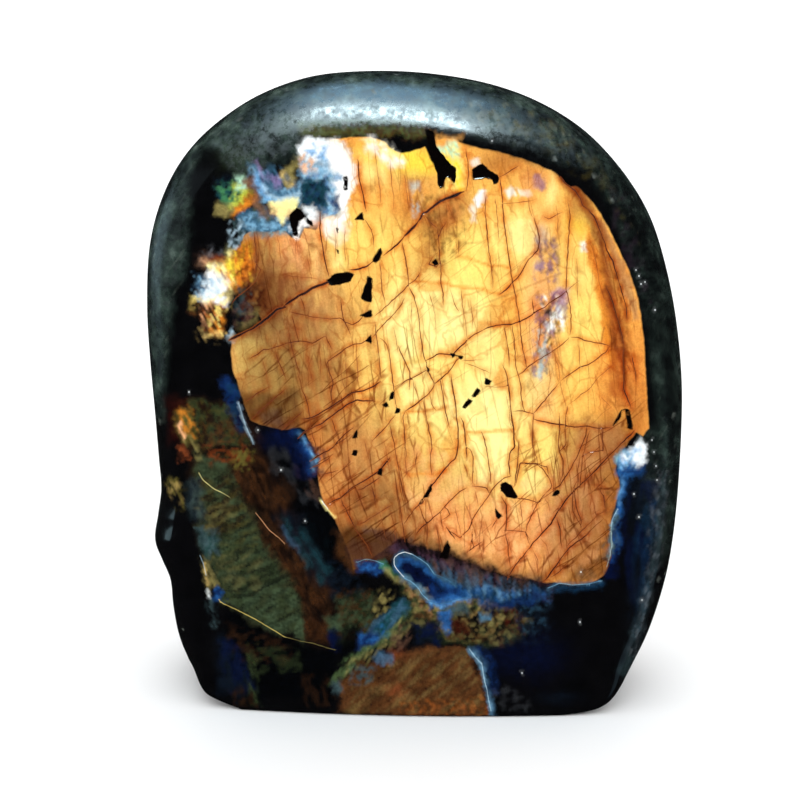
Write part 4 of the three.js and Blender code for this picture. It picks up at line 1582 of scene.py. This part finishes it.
fades = smoothstep(turned, PAINT_FADES_FROM, 1)
fire = np.zeros((len(vertices), 4))
fire[front_numbers, :3] = canvas.colour * (1 - fades)[:, None]
fire[front_numbers, 3] = canvas.cover * (1 - fades)
store("fire", fire)
from_foot = smoothstep(vertices[:, 2], FOOT_UP_TO, SIDE_FROM)
side_grey = FOOT_FELDSPAR + (SIDE_FELDSPAR - FOOT_FELDSPAR) * from_foot
face_grey = grey.colour[:, 1] / PIGMENTS["frost"][1]
shares = {
    "gold": for_all(0, gold_cover * (1 - fades)),
    # Grey that shows, which along the left edge is partly a painted reflection.
    "feldspar": for_all(side_grey, face_grey + (side_grey[front_numbers] - face_grey) * fades),
    "pit": for_all(0, np.concatenate([np.zeros(front_ring_points), pit_mask])),
    "rim": for_all(1, smoothstep(turned, RIM_FROM, RIM_UNTIL)),
    "upright_hairs": for_all(0, upright.cover * gold_cover),
    "slanting_hairs": for_all(0, slanting.cover * gold_cover),
}
for name, values in shares.items():
    store(name, values)
print("on each point: fire,", ", ".join(shares))

# %% [markdown]
# ## Cracks and chips with Geometry Nodes
# A crack follows its path whatever the mesh under it does, which is a job for Geometry Nodes. The paths are a
# second object made of edges only. For each point of the skin the tree asks how far the nearest path is,
# cuts a groove where that is less than the path's half width, and keeps the result as an attribute that the
# finish reads. The same tree scatters small chips over the rim, where grinding has pulled out grains.

# %% The crack paths as an object
crack_plan = [on_stone(path) for path, _, _ in crack_paths]
starts = np.concatenate([[0], np.cumsum([len(plan) for plan in crack_plan])])
paths = bpy.data.meshes.new("crack_paths")
path_points = surface(*np.vstack(crack_plan).T) + CENTRING
path_edges = [(k, k + 1) for first, last in zip(starts, starts[1:]) for k in range(first, last - 1)]
paths.from_pydata((path_points * MM).tolist(), path_edges, [])
path_widths = np.concatenate([widths for _, widths, _ in crack_paths]) * PIXEL * MM
path_strengths = np.concatenate([strengths for _, _, strengths in crack_paths])
for name, values in (("half_width", path_widths), ("strength", path_strengths)):
    paths.attributes.new(name, "FLOAT", "POINT").data.foreach_set("value", values)
crack_lines = bpy.data.objects.new("crack_lines", paths)
bpy.context.scene.collection.objects.link(crack_lines)
print(len(crack_paths), "crack paths with", len(path_points), "points")


# %% Helpers for node trees
def add(tree, kind, inputs=(), **settings):
    """A new node with its settings, and with values or other nodes' outputs on its inputs."""
    made = tree.nodes.new(kind)
    for name, value in settings.items():
        setattr(made, name, value)
    for name, value in dict(inputs).items():
        if isinstance(value, bpy.types.NodeSocket):
            tree.links.new(value, made.inputs[name])
        else:
            made.inputs[name].default_value = value
    return made


def maths(tree, operation, a, b=0.0, c=0.0, clamp=False):
    return add(tree, "ShaderNodeMath", {0: a, 1: b, 2: c}, operation=operation, use_clamp=clamp).outputs[0]


def spread(tree, value, low, high, to_low=0.0, to_high=1.0, smooth=False):
    """A value's place between two others, as a number from to_low to to_high."""
    kind = "SMOOTHSTEP" if smooth else "LINEAR"
    sockets = {"Value": value, "From Min": low, "From Max": high, "To Min": to_low, "To Max": to_high}
    return add(tree, "ShaderNodeMapRange", sockets, interpolation_type=kind).outputs[0]


# %% The tree and its inputs
CHIP_SEED = 5
CRACK_INPUTS = (
    ("Skin", "NodeSocketGeometry", None), ("Crack paths", "NodeSocketObject", crack_lines),
    ("Groove depth", "NodeSocketFloat", 0.07 * MM), ("Halo width", "NodeSocketFloat", 1.0 * MM),
    ("Chips per square metre", "NodeSocketFloat", 26000.0), ("Chip spacing", "NodeSocketFloat", 2.2 * MM),
    ("Smallest chip", "NodeSocketFloat", 0.25 * MM), ("Largest chip", "NodeSocketFloat", 0.6 * MM),
    ("Chip depth", "NodeSocketFloat", 0.06 * MM), ("Seed", "NodeSocketInt", CHIP_SEED),
    ("Finish", "NodeSocketMaterial", None),
)
tree = bpy.data.node_groups.new("cracks_and_chips", "GeometryNodeTree")
given = {}
for name, kind, value in CRACK_INPUTS:
    given[name] = tree.interface.new_socket(name, in_out="INPUT", socket_type=kind)
tree.interface.new_socket("Skin", in_out="OUTPUT", socket_type="NodeSocketGeometry")
source, result = add(tree, "NodeGroupInput"), add(tree, "NodeGroupOutput")
asked = source.outputs
outward = add(tree, "GeometryNodeInputNormal").outputs[0]

# %% How near the cracks are
of_cracks = add(tree, "GeometryNodeObjectInfo", {"Object": asked["Crack paths"]}, transform_space="RELATIVE")
lines = of_cracks.outputs["Geometry"]
crack_near = add(tree, "GeometryNodeProximity", {0: lines}, target_element="EDGES")
nearest = add(tree, "GeometryNodeSampleNearest", {"Geometry": lines}).outputs[0]


def carried(name):
    """A number that the points of a mesh carry."""
    return add(tree, "GeometryNodeInputNamedAttribute", {"Name": name}, data_type="FLOAT").outputs[0]


def of_path(name):
    """A number of the crack path's point that is nearest."""
    sample = {"Geometry": lines, "Value": carried(name), "Index": nearest}
    return add(tree, "GeometryNodeSampleIndex", sample).outputs[0]


strength = of_path("strength")
across = maths(tree, "DIVIDE", crack_near.outputs["Distance"], of_path("half_width"))
crack = maths(tree, "MULTIPLY", maths(tree, "SUBTRACT", 1.0, across, clamp=True), strength)
beside = spread(tree, crack_near.outputs["Distance"], asked["Halo width"], 0.0, smooth=True)
halo = maths(tree, "MULTIPLY", beside, strength)

# %% Chips over the rim
chances = {
    "Mesh": asked["Skin"], "Distance Min": asked["Chip spacing"],
    "Density Max": asked["Chips per square metre"], "Density Factor": carried("rim"), "Seed": asked["Seed"],
}
scatter = add(tree, "GeometryNodeDistributePointsOnFaces", chances, distribute_method="POISSON")
scattered = scatter.outputs["Points"]
chip_near = add(tree, "GeometryNodeProximity", {0: scattered}, target_element="POINTS").outputs["Distance"]
chip_number = add(tree, "GeometryNodeSampleNearest", {"Geometry": scattered}).outputs[0]
sizes = {2: asked["Smallest chip"], 3: asked["Largest chip"], "ID": chip_number, "Seed": asked["Seed"]}
chip_size = add(tree, "FunctionNodeRandomValue", sizes, data_type="FLOAT").outputs[1]
chip = spread(tree, maths(tree, "DIVIDE", chip_near, chip_size), 1.0, 0.0, smooth=True)

# %% Sinking the surface and keeping what the finish reads
groove = maths(tree, "MULTIPLY", crack, asked["Groove depth"])
hollow = maths(tree, "MULTIPLY", chip, asked["Chip depth"])
move = maths(tree, "MULTIPLY", maths(tree, "ADD", groove, hollow), -1.0)
inward = add(tree, "ShaderNodeVectorMath", {0: outward, "Scale": move}, operation="SCALE").outputs[0]
geometry = asked["Skin"]
for name, value in (("crack", crack), ("halo", halo), ("chip", chip)):
    record = {"Geometry": geometry, "Name": name, "Value": value}
    stored = add(tree, "GeometryNodeStoreNamedAttribute", record, data_type="FLOAT", domain="POINT")
    geometry = stored.outputs[0]
geometry = add(tree, "GeometryNodeSetPosition", {"Geometry": geometry, "Offset": inward}).outputs[0]
geometry = add(tree, "GeometryNodeSetShadeSmooth", {"Geometry": geometry}).outputs[0]
geometry = add(tree, "GeometryNodeRealizeInstances", {"Geometry": geometry}).outputs[0]
finish = {"Geometry": geometry, "Material": asked["Finish"]}
geometry = add(tree, "GeometryNodeSetMaterial", finish).outputs[0]
tree.links.new(geometry, result.inputs[0])
print("tree of", len(tree.nodes), "nodes")

# %% [markdown]
# ## The finish
# Under the polish the feldspar is nearly black, and the painted fire is laid over it. One material covers the
# stone, because it is one piece. It reads the paint by name, and its own patterns are noise on Object
# coordinates, so they stay in place on the stone.

# %% The polished feldspar, and helpers for its patterns
BENDS_PER_MM, LINE_CORE = 0.35, 0.25

look = bpy.data.materials.new("polished_labradorite")
look.use_nodes = True
nodes = look.node_tree
nodes.nodes.clear()
in_metres = add(nodes, "ShaderNodeTexCoord").outputs["Object"]
at_mm = add(nodes, "ShaderNodeMapping", {"Vector": in_metres, "Scale": (1 / MM,) * 3}).outputs[0]


def blend(factor, a, b, kind="MIX"):
    """One colour over another."""
    return add(nodes, "ShaderNodeMix", {0: factor, 6: a, 7: b}, data_type="RGBA", blend_type=kind).outputs[2]


def tinted(amount, colour, layer):
    """A colour multiplied by a layer, by this amount."""
    return blend(amount, colour, blend(1.0, colour, layer, "MULTIPLY"))


def grain(scale, detail=2.0, roughness=0.5, at=at_mm):
    """Noise of the stone, with its scale per millimetre."""
    noise_inputs = {"Vector": at, "Scale": scale, "Detail": detail, "Roughness": roughness}
    return add(nodes, "ShaderNodeTexNoise", noise_inputs).outputs[0]


def shade(r, g, b):
    return (*linear((r, g, b)), 1.0)


def read(name):
    return add(nodes, "ShaderNodeAttribute", attribute_name=name)


def vectors(operation, inputs):
    return add(nodes, "ShaderNodeVectorMath", inputs, operation=operation).outputs[0]


def along(lean, stretch, bend=0.0):
    """Places for a pattern stretched along a direction, which leans this many degrees to the right."""
    at = at_mm
    if bend:
        bends = {"Vector": at_mm, "Scale": BENDS_PER_MM, "Detail": 3.0}
        waves = add(nodes, "ShaderNodeTexNoise", bends).outputs[1]
        centred = vectors("ADD", {0: waves, 1: (-0.5, -0.5, -0.5)})
        at = vectors("ADD", {0: at_mm, 1: vectors("SCALE", {0: centred, "Scale": bend})})
    leaning = {"Vector": at, "Rotation": (0, math.radians(lean), 0), "Scale": (1, 1, stretch)}
    return add(nodes, "ShaderNodeMapping", leaning, vector_type="TEXTURE").outputs[0]


def cell_lines(at, scale, width):
    """Thin lines between the cells of a pattern. The width is a share of a cell."""
    cells = add(nodes, "ShaderNodeTexVoronoi", {"Vector": at, "Scale": scale}, feature="DISTANCE_TO_EDGE")
    return spread(nodes, cells.outputs["Distance"], width, width * LINE_CORE)


def ramp(value, stops):
    """Colours that change with a value, through stops that are each a position and a colour."""
    made = add(nodes, "ShaderNodeValToRGB", {0: value})
    marks = made.color_ramp.elements
    for mark, (position, colour) in ((marks[0], stops[0]), (marks[1], stops[-1])):
        mark.position, mark.color = position, colour
    for position, colour in stops[1:-1]:
        marks.new(position).color = colour
    return made.outputs[0]


def times(*values):
    """The product of several numbers."""
    product = values[0]
    for value in values[1:]:
        product = maths(nodes, "MULTIPLY", product, value)
    return product


fire_paint = read("fire")
gold_share, grey_share, pit_share = (read(name).outputs["Fac"] for name in ("gold", "feldspar", "pit"))
crack_share, halo_share, chip_share = (read(name).outputs["Fac"] for name in ("crack", "halo", "chip"))
upright_share, slanting_share = read("upright_hairs").outputs["Fac"], read("slanting_hairs").outputs["Fac"]

# %% [markdown]
# The fire is never even. Upright lamellae, cells and wide patches of peach or straw each multiply the paint
# by a tint, which goes from the first colour of a pair to the second.

# %% The fire's own variation
LAMELLAE_LEAN, LAMELLAE_STRETCH = -9, 9
CELLS_PER_MM, CELL_STRETCH, CELL_BEND = 0.24, 1.7, 2.2
PEACH_TO_STRAW = (1.0, 0.84, 0.66, 1), (1.08, 1.12, 1.06, 1)
BROWN_TO_PALE_CELLS = (0.9, 0.76, 0.56, 1), (1.18, 1.2, 1.02, 1)
DARK_TO_BRIGHT_LAMELLAE = (0.76, 0.6, 0.44, 1), (1.14, 1.15, 1.02, 1)
DULL_TO_CLEAR_GRAINS = (0.8, 0.74, 0.66, 1), (1.12, 1.13, 1.14, 1)
DULL_TO_CLEAR_GROUND = (0.55, 0.55, 0.57, 1), (1.25, 1.24, 1.22, 1)

lamellae = grain(2.4, detail=3, roughness=0.6, at=along(LAMELLAE_LEAN, LAMELLAE_STRETCH))
tint = grain(0.28, detail=3)
grains = grain(3.2, detail=4, roughness=0.75)
cells_at = along(LAMELLAE_LEAN, CELL_STRETCH, bend=CELL_BEND)
cell = add(nodes, "ShaderNodeTexVoronoi", {"Vector": cells_at, "Scale": CELLS_PER_MM}, feature="F1")
cell_tone = add(nodes, "ShaderNodeSeparateColor", {0: cell.outputs["Color"]})
warm = blend(spread(nodes, tint, 0.4, 0.62), *PEACH_TO_STRAW)
cells = blend(cell_tone.outputs[0], *BROWN_TO_PALE_CELLS)
streaks = blend(spread(nodes, lamellae, 0.34, 0.6), *DARK_TO_BRIGHT_LAMELLAE)
fine = blend(spread(nodes, grains, 0.32, 0.68), *DULL_TO_CLEAR_GRAINS)
varied = fire_paint.outputs["Color"]
# The brightest grains are clean, so their paint keeps most of its light.
paint_light = add(nodes, "ShaderNodeSeparateColor", {0: varied}).outputs[1]
dull = spread(nodes, paint_light, 0.4, 0.9, 1.0, 0.3)
for layer, amount in ((warm, 0.5), (cells, 0.45), (streaks, 0.3)):
    varied = tinted(times(gold_share, dull, amount), varied, layer)
varied = tinted(times(dull, spread(nodes, gold_share, 0.0, 1.0, 0.35, 0.8)), varied, fine)
mixed = grain(0.9, detail=6, roughness=0.7)
mottled = blend(spread(nodes, mixed, 0.36, 0.6), *DULL_TO_CLEAR_GROUND)
varied = tinted(times(dull, maths(nodes, "SUBTRACT", 0.9, gold_share, clamp=True)), varied, mottled)
print("the fire varies through", len(nodes.nodes), "nodes")

# %% [markdown]
# Between the drawn cracks runs a net of hair cracks, too fine to draw. The borders of stretched Voronoi
# cells give such lines, and noise breaks them off, where plain cells would close.

# %% The net of hair cracks
NET_TINT, HAIR_TINT = (0.62, 0.3, 0.12, 1), (0.34, 0.15, 0.05, 1)
# Lean, stretch, cells per millimetre, width as a share of a cell, where it shows, and how much is broken off.
HAIR_SETS = (
    (LAMELLAE_LEAN, 16.0, 0.36, 0.034, upright_share, 0.49), (-6, 10.0, 0.7, 0.055, upright_share, 0.54),
    (57, 16.0, 0.3, 0.03, slanting_share, 0.49), (48, 10.0, 0.6, 0.045, slanting_share, 0.54),
)
net_here = spread(nodes, grain(0.16, detail=1), 0.40, 0.54, smooth=True)
hair_net = times(cell_lines(cells_at, CELLS_PER_MM, 0.035), net_here, gold_share, 0.4)
varied = tinted(hair_net, varied, NET_TINT)
for lean, stretch, scale, width, share, limit in HAIR_SETS:
    gaps = grain(0.22 * (1 + scale), detail=2, at=along(lean, 2.0))
    broken = spread(nodes, gaps, limit - 0.03, limit + 0.05)
    hairs = times(cell_lines(along(lean, stretch, bend=0.5), scale, width), broken, share, 0.95)
    varied = tinted(hairs, varied, HAIR_TINT)

# %% [markdown]
# The grey feldspar at the rim is mottled like granite, with slanting cleavage that catches the light. It is
# noise through a colour ramp, and elsewhere the body is black. Along the left edge the same grey is partly a
# painted reflection of a bright surface to the left.

# %% The grey feldspar and the black between
crystal_inputs = {"Vector": at_mm, "Scale": 0.5, "Randomness": 1.0}
crystals = add(nodes, "ShaderNodeTexVoronoi", crystal_inputs, feature="SMOOTH_F1")
clouds = times(grain(0.3, detail=7, roughness=0.68), 0.8)
mottle = maths(nodes, "ADD", clouds, times(crystals.outputs["Distance"], 0.2))
# The mottled grey, which along the left edge also paints a reflection.
feldspar = ramp(mottle, (
    (0.36, shade(14, 21, 19)), (0.46, shade(28, 40, 36)), (0.56, shade(50, 66, 59)),
    (0.74, shade(98, 118, 108)),
))
cleavage = spread(nodes, grain(1.1, detail=3, at=along(38, 8)), 0.62, 0.72)
stone = blend(times(cleavage, 0.3), feldspar, shade(104, 116, 104))
night = blend(grain(0.4, detail=4), shade(1, 1, 2), shade(9, 9, 11))
body = blend(grey_share, night, stone)

# %% [markdown]
# A crack first stains the stone around it and then turns dark, and a pit is nearly black.

# %% The fire over the stone, and the cracks over both
shown = maths(nodes, "SUBTRACT", 1.0, fire_paint.outputs["Alpha"], clamp=True)
uncovered = add(nodes, "ShaderNodeCombineColor", {0: shown, 1: shown, 2: shown}).outputs[0]
base = blend(1.0, blend(1.0, body, uncovered, "MULTIPLY"), varied, "ADD")
stain = times(halo_share, spread(nodes, grain(0.9, detail=2), 0.35, 0.6, 0.5, 1.0))
base = tinted(stain, base, shade(222, 142, 66))
crack_tone = ramp(crack_share, (
    (0.25, shade(158, 82, 30)), (0.55, shade(106, 47, 16)), (0.8, shade(60, 24, 9)), (0.97, shade(20, 7, 4)),
))
base = blend(spread(nodes, crack_share, 0.12, 0.58, smooth=True), base, crack_tone)
base = blend(spread(nodes, pit_share, 0.16, 0.44, smooth=True), base, shade(5, 2, 2))
base = blend(times(chip_share, 0.3), base, shade(150, 158, 146))

# %% [markdown]
# The gold is mirror smooth, and the grey rim, cracks and chips are rougher. A slight ripple keeps the
# reflections from looking like those of glass.

# %% The polish
FELDSPAR_IOR = 1.56
RIPPLE_STRENGTH, RIPPLE_HEIGHT = 0.35, 0.05

worn = maths(nodes, "MAXIMUM", times(crack_share, 0.4), times(chip_share, 0.7))
satin = times(grey_share, spread(nodes, grain(0.7, detail=5, roughness=0.7), 0.35, 0.65, 0.06, 0.34))
rind = times(read("rim").outputs["Fac"], 0.06)
rough = maths(nodes, "ADD", spread(nodes, grain(1.4, detail=4), 0.3, 0.75, 0.05, 0.14), rind)
rough = maths(nodes, "ADD", rough, maths(nodes, "ADD", times(worn, 0.45), satin))
ripple = maths(nodes, "ADD", times(grain(0.6, detail=2), 0.8), times(grain(4.0, detail=3), 0.06))
bump_inputs = {"Height": ripple, "Strength": RIPPLE_STRENGTH, "Distance": RIPPLE_HEIGHT * MM}
bump = add(nodes, "ShaderNodeBump", bump_inputs).outputs[0]
polish_inputs = {"Base Color": base, "Roughness": rough, "Normal": bump, "IOR": FELDSPAR_IOR}
polish = add(nodes, "ShaderNodeBsdfPrincipled", polish_inputs)
nodes.links.new(polish.outputs[0], add(nodes, "ShaderNodeOutputMaterial").inputs[0])
print("finish of", len(nodes.nodes), "nodes")

# %% [markdown]
# The tree runs when its object is evaluated, and its result is kept as a plain mesh, which then stands for
# the solid in the frame.

# %% Running the tree and keeping its result as a plain mesh
rough_stone = bpy.data.objects.new("stone_with_tree", skin)
bpy.context.scene.collection.objects.link(rough_stone)
modifier = rough_stone.modifiers.new("cracks_and_chips", "NODES")
modifier.node_group = tree
for name, kind, value in CRACK_INPUTS:
    if kind != "NodeSocketGeometry":
        modifier[given[name].identifier] = look if name == "Finish" else value
evaluated = rough_stone.evaluated_get(bpy.context.evaluated_depsgraph_get())
finished = bpy.data.meshes.new_from_object(evaluated)
finished.name = "labradorite"
stone_piece = bpy.data.objects.new("labradorite", finished)
bpy.context.scene.collection.objects.link(stone_piece)
for helper in (rough_stone, crack_lines):
    bpy.data.objects.remove(helper)
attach(stone_piece, "root")
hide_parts("stone")
finished.calc_loop_triangles()
names = [a.name for a in finished.attributes if not a.name.startswith(".")]
print(len(finished.loop_triangles), "triangles, with", ", ".join(names))

# %% [markdown]
# ## Floor and light
# The stone stands on pale paper, which is hidden from reflections, because it would lie as a grey veil over
# the lower face.

# %% A plain pale floor
FLOOR_SIZE = 6.0
PAPER_TONE, PAPER_ROUGHNESS = 0.9, 0.9

floor_mesh = bpy.data.meshes.new("floor")
half = FLOOR_SIZE / 2
corners = [(-half, -half, 0), (half, -half, 0), (half, half, 0), (-half, half, 0)]
floor_mesh.from_pydata(corners, [], [(0, 1, 2, 3)])
floor = bpy.data.objects.new("floor", floor_mesh)
bpy.context.scene.collection.objects.link(floor)
paper = bpy.data.materials.new("pale_paper")
paper.use_nodes = True
paper_surface = paper.node_tree.nodes["Principled BSDF"]
paper_surface.inputs["Base Color"].default_value = (PAPER_TONE, PAPER_TONE, PAPER_TONE, 1)
paper_surface.inputs["Roughness"].default_value = PAPER_ROUGHNESS
floor_mesh.materials.append(paper)
floor.visible_glossy = False

# %% [markdown]
# A polished stone shows its surroundings, and the face must mirror nothing bright or its black would turn
# grey. So the lamps that light the fire are hidden from reflections, and a few soft panels are placed just
# where their mirror images should be: over the top edge, and a tall dim one on each side.

# %% Soft lights
STONE_MIDDLE = Vector((0, 0, 0.045))
# Name, direction as azimuth and elevation in degrees, distance, width and height in metres, watts, colour.
FIRE_LIGHTS = (
    ("fire_light", 0, 38, 1.2, 0.9, 0.9, 1.6, (1, 1, 1)),
    ("back_light", 180, 40, 1.2, 0.9, 0.7, 4.0, (1, 1, 1)),
)
MIRRORED_PANELS = (
    ("window", -8, 50, 0.8, 0.42, 0.23, 12.0, (0.72, 0.92, 1.0)),
    ("ceiling", -20, 80, 0.9, 0.6, 0.6, 6.5, (0.38, 0.7, 1.0)),
    ("ceiling_glow", 0, 80, 1.2, 1.4, 1.2, 5.0, (0.5, 0.8, 1.0)),
    ("left_panel", -105, 6, 0.6, 0.42, 0.22, 0.36, (0.6, 0.9, 1.0)),
    ("left_glow", -80, 18, 0.8, 0.7, 0.4, 0.15, (0.7, 0.9, 1.0)),
    ("right_panel", 66, -20, 0.6, 0.4, 0.26, 0.08, (0.5, 0.8, 1.0)),
)
for name, azimuth, elevation, distance, wide, tall, watts, colour in FIRE_LIGHTS + MIRRORED_PANELS:
    around, up = math.radians(azimuth), math.radians(elevation)
    direction = Vector((math.sin(around) * math.cos(up), -math.cos(around) * math.cos(up), math.sin(up)))
    data = bpy.data.lights.new(name, "AREA")
    data.shape, data.size, data.size_y, data.energy, data.color = "RECTANGLE", wide, tall, watts, colour
    lamp = bpy.data.objects.new(name, data)
    lamp.location = STONE_MIDDLE + direction * distance
    lamp.rotation_euler = (-direction).to_track_quat("-Z", "Y").to_euler()
    lamp.visible_glossy = name in [panel[0] for panel in MIRRORED_PANELS]
    lamp.visible_diffuse = not lamp.visible_glossy
    bpy.context.scene.collection.objects.link(lamp)
print(len(FIRE_LIGHTS), "lamps for the fire and", len(MIRRORED_PANELS), "panels for the polish")

# %% [markdown]
# The room is pale, so that the paper is white, but the polish mirrors it only dimly. A Light Path node tells
# the two apart.

# %% The pale room
ROOM_LIGHT, ROOM_MIRRORED = 1.25, 0.011
world = bpy.data.worlds.new("room")
bpy.context.scene.world = world
world.use_nodes = True
room = world.node_tree
room.nodes.clear()
is_mirrored = add(room, "ShaderNodeLightPath").outputs["Is Glossy Ray"]
level = spread(room, is_mirrored, 0.0, 1.0, ROOM_LIGHT, ROOM_MIRRORED)
background = add(room, "ShaderNodeBackground", {"Color": (1, 1, 1, 1), "Strength": level})
room.links.new(background.outputs[0], add(room, "ShaderNodeOutputWorld").inputs[0])
bpy.context.scene.view_settings.view_transform = "Standard"
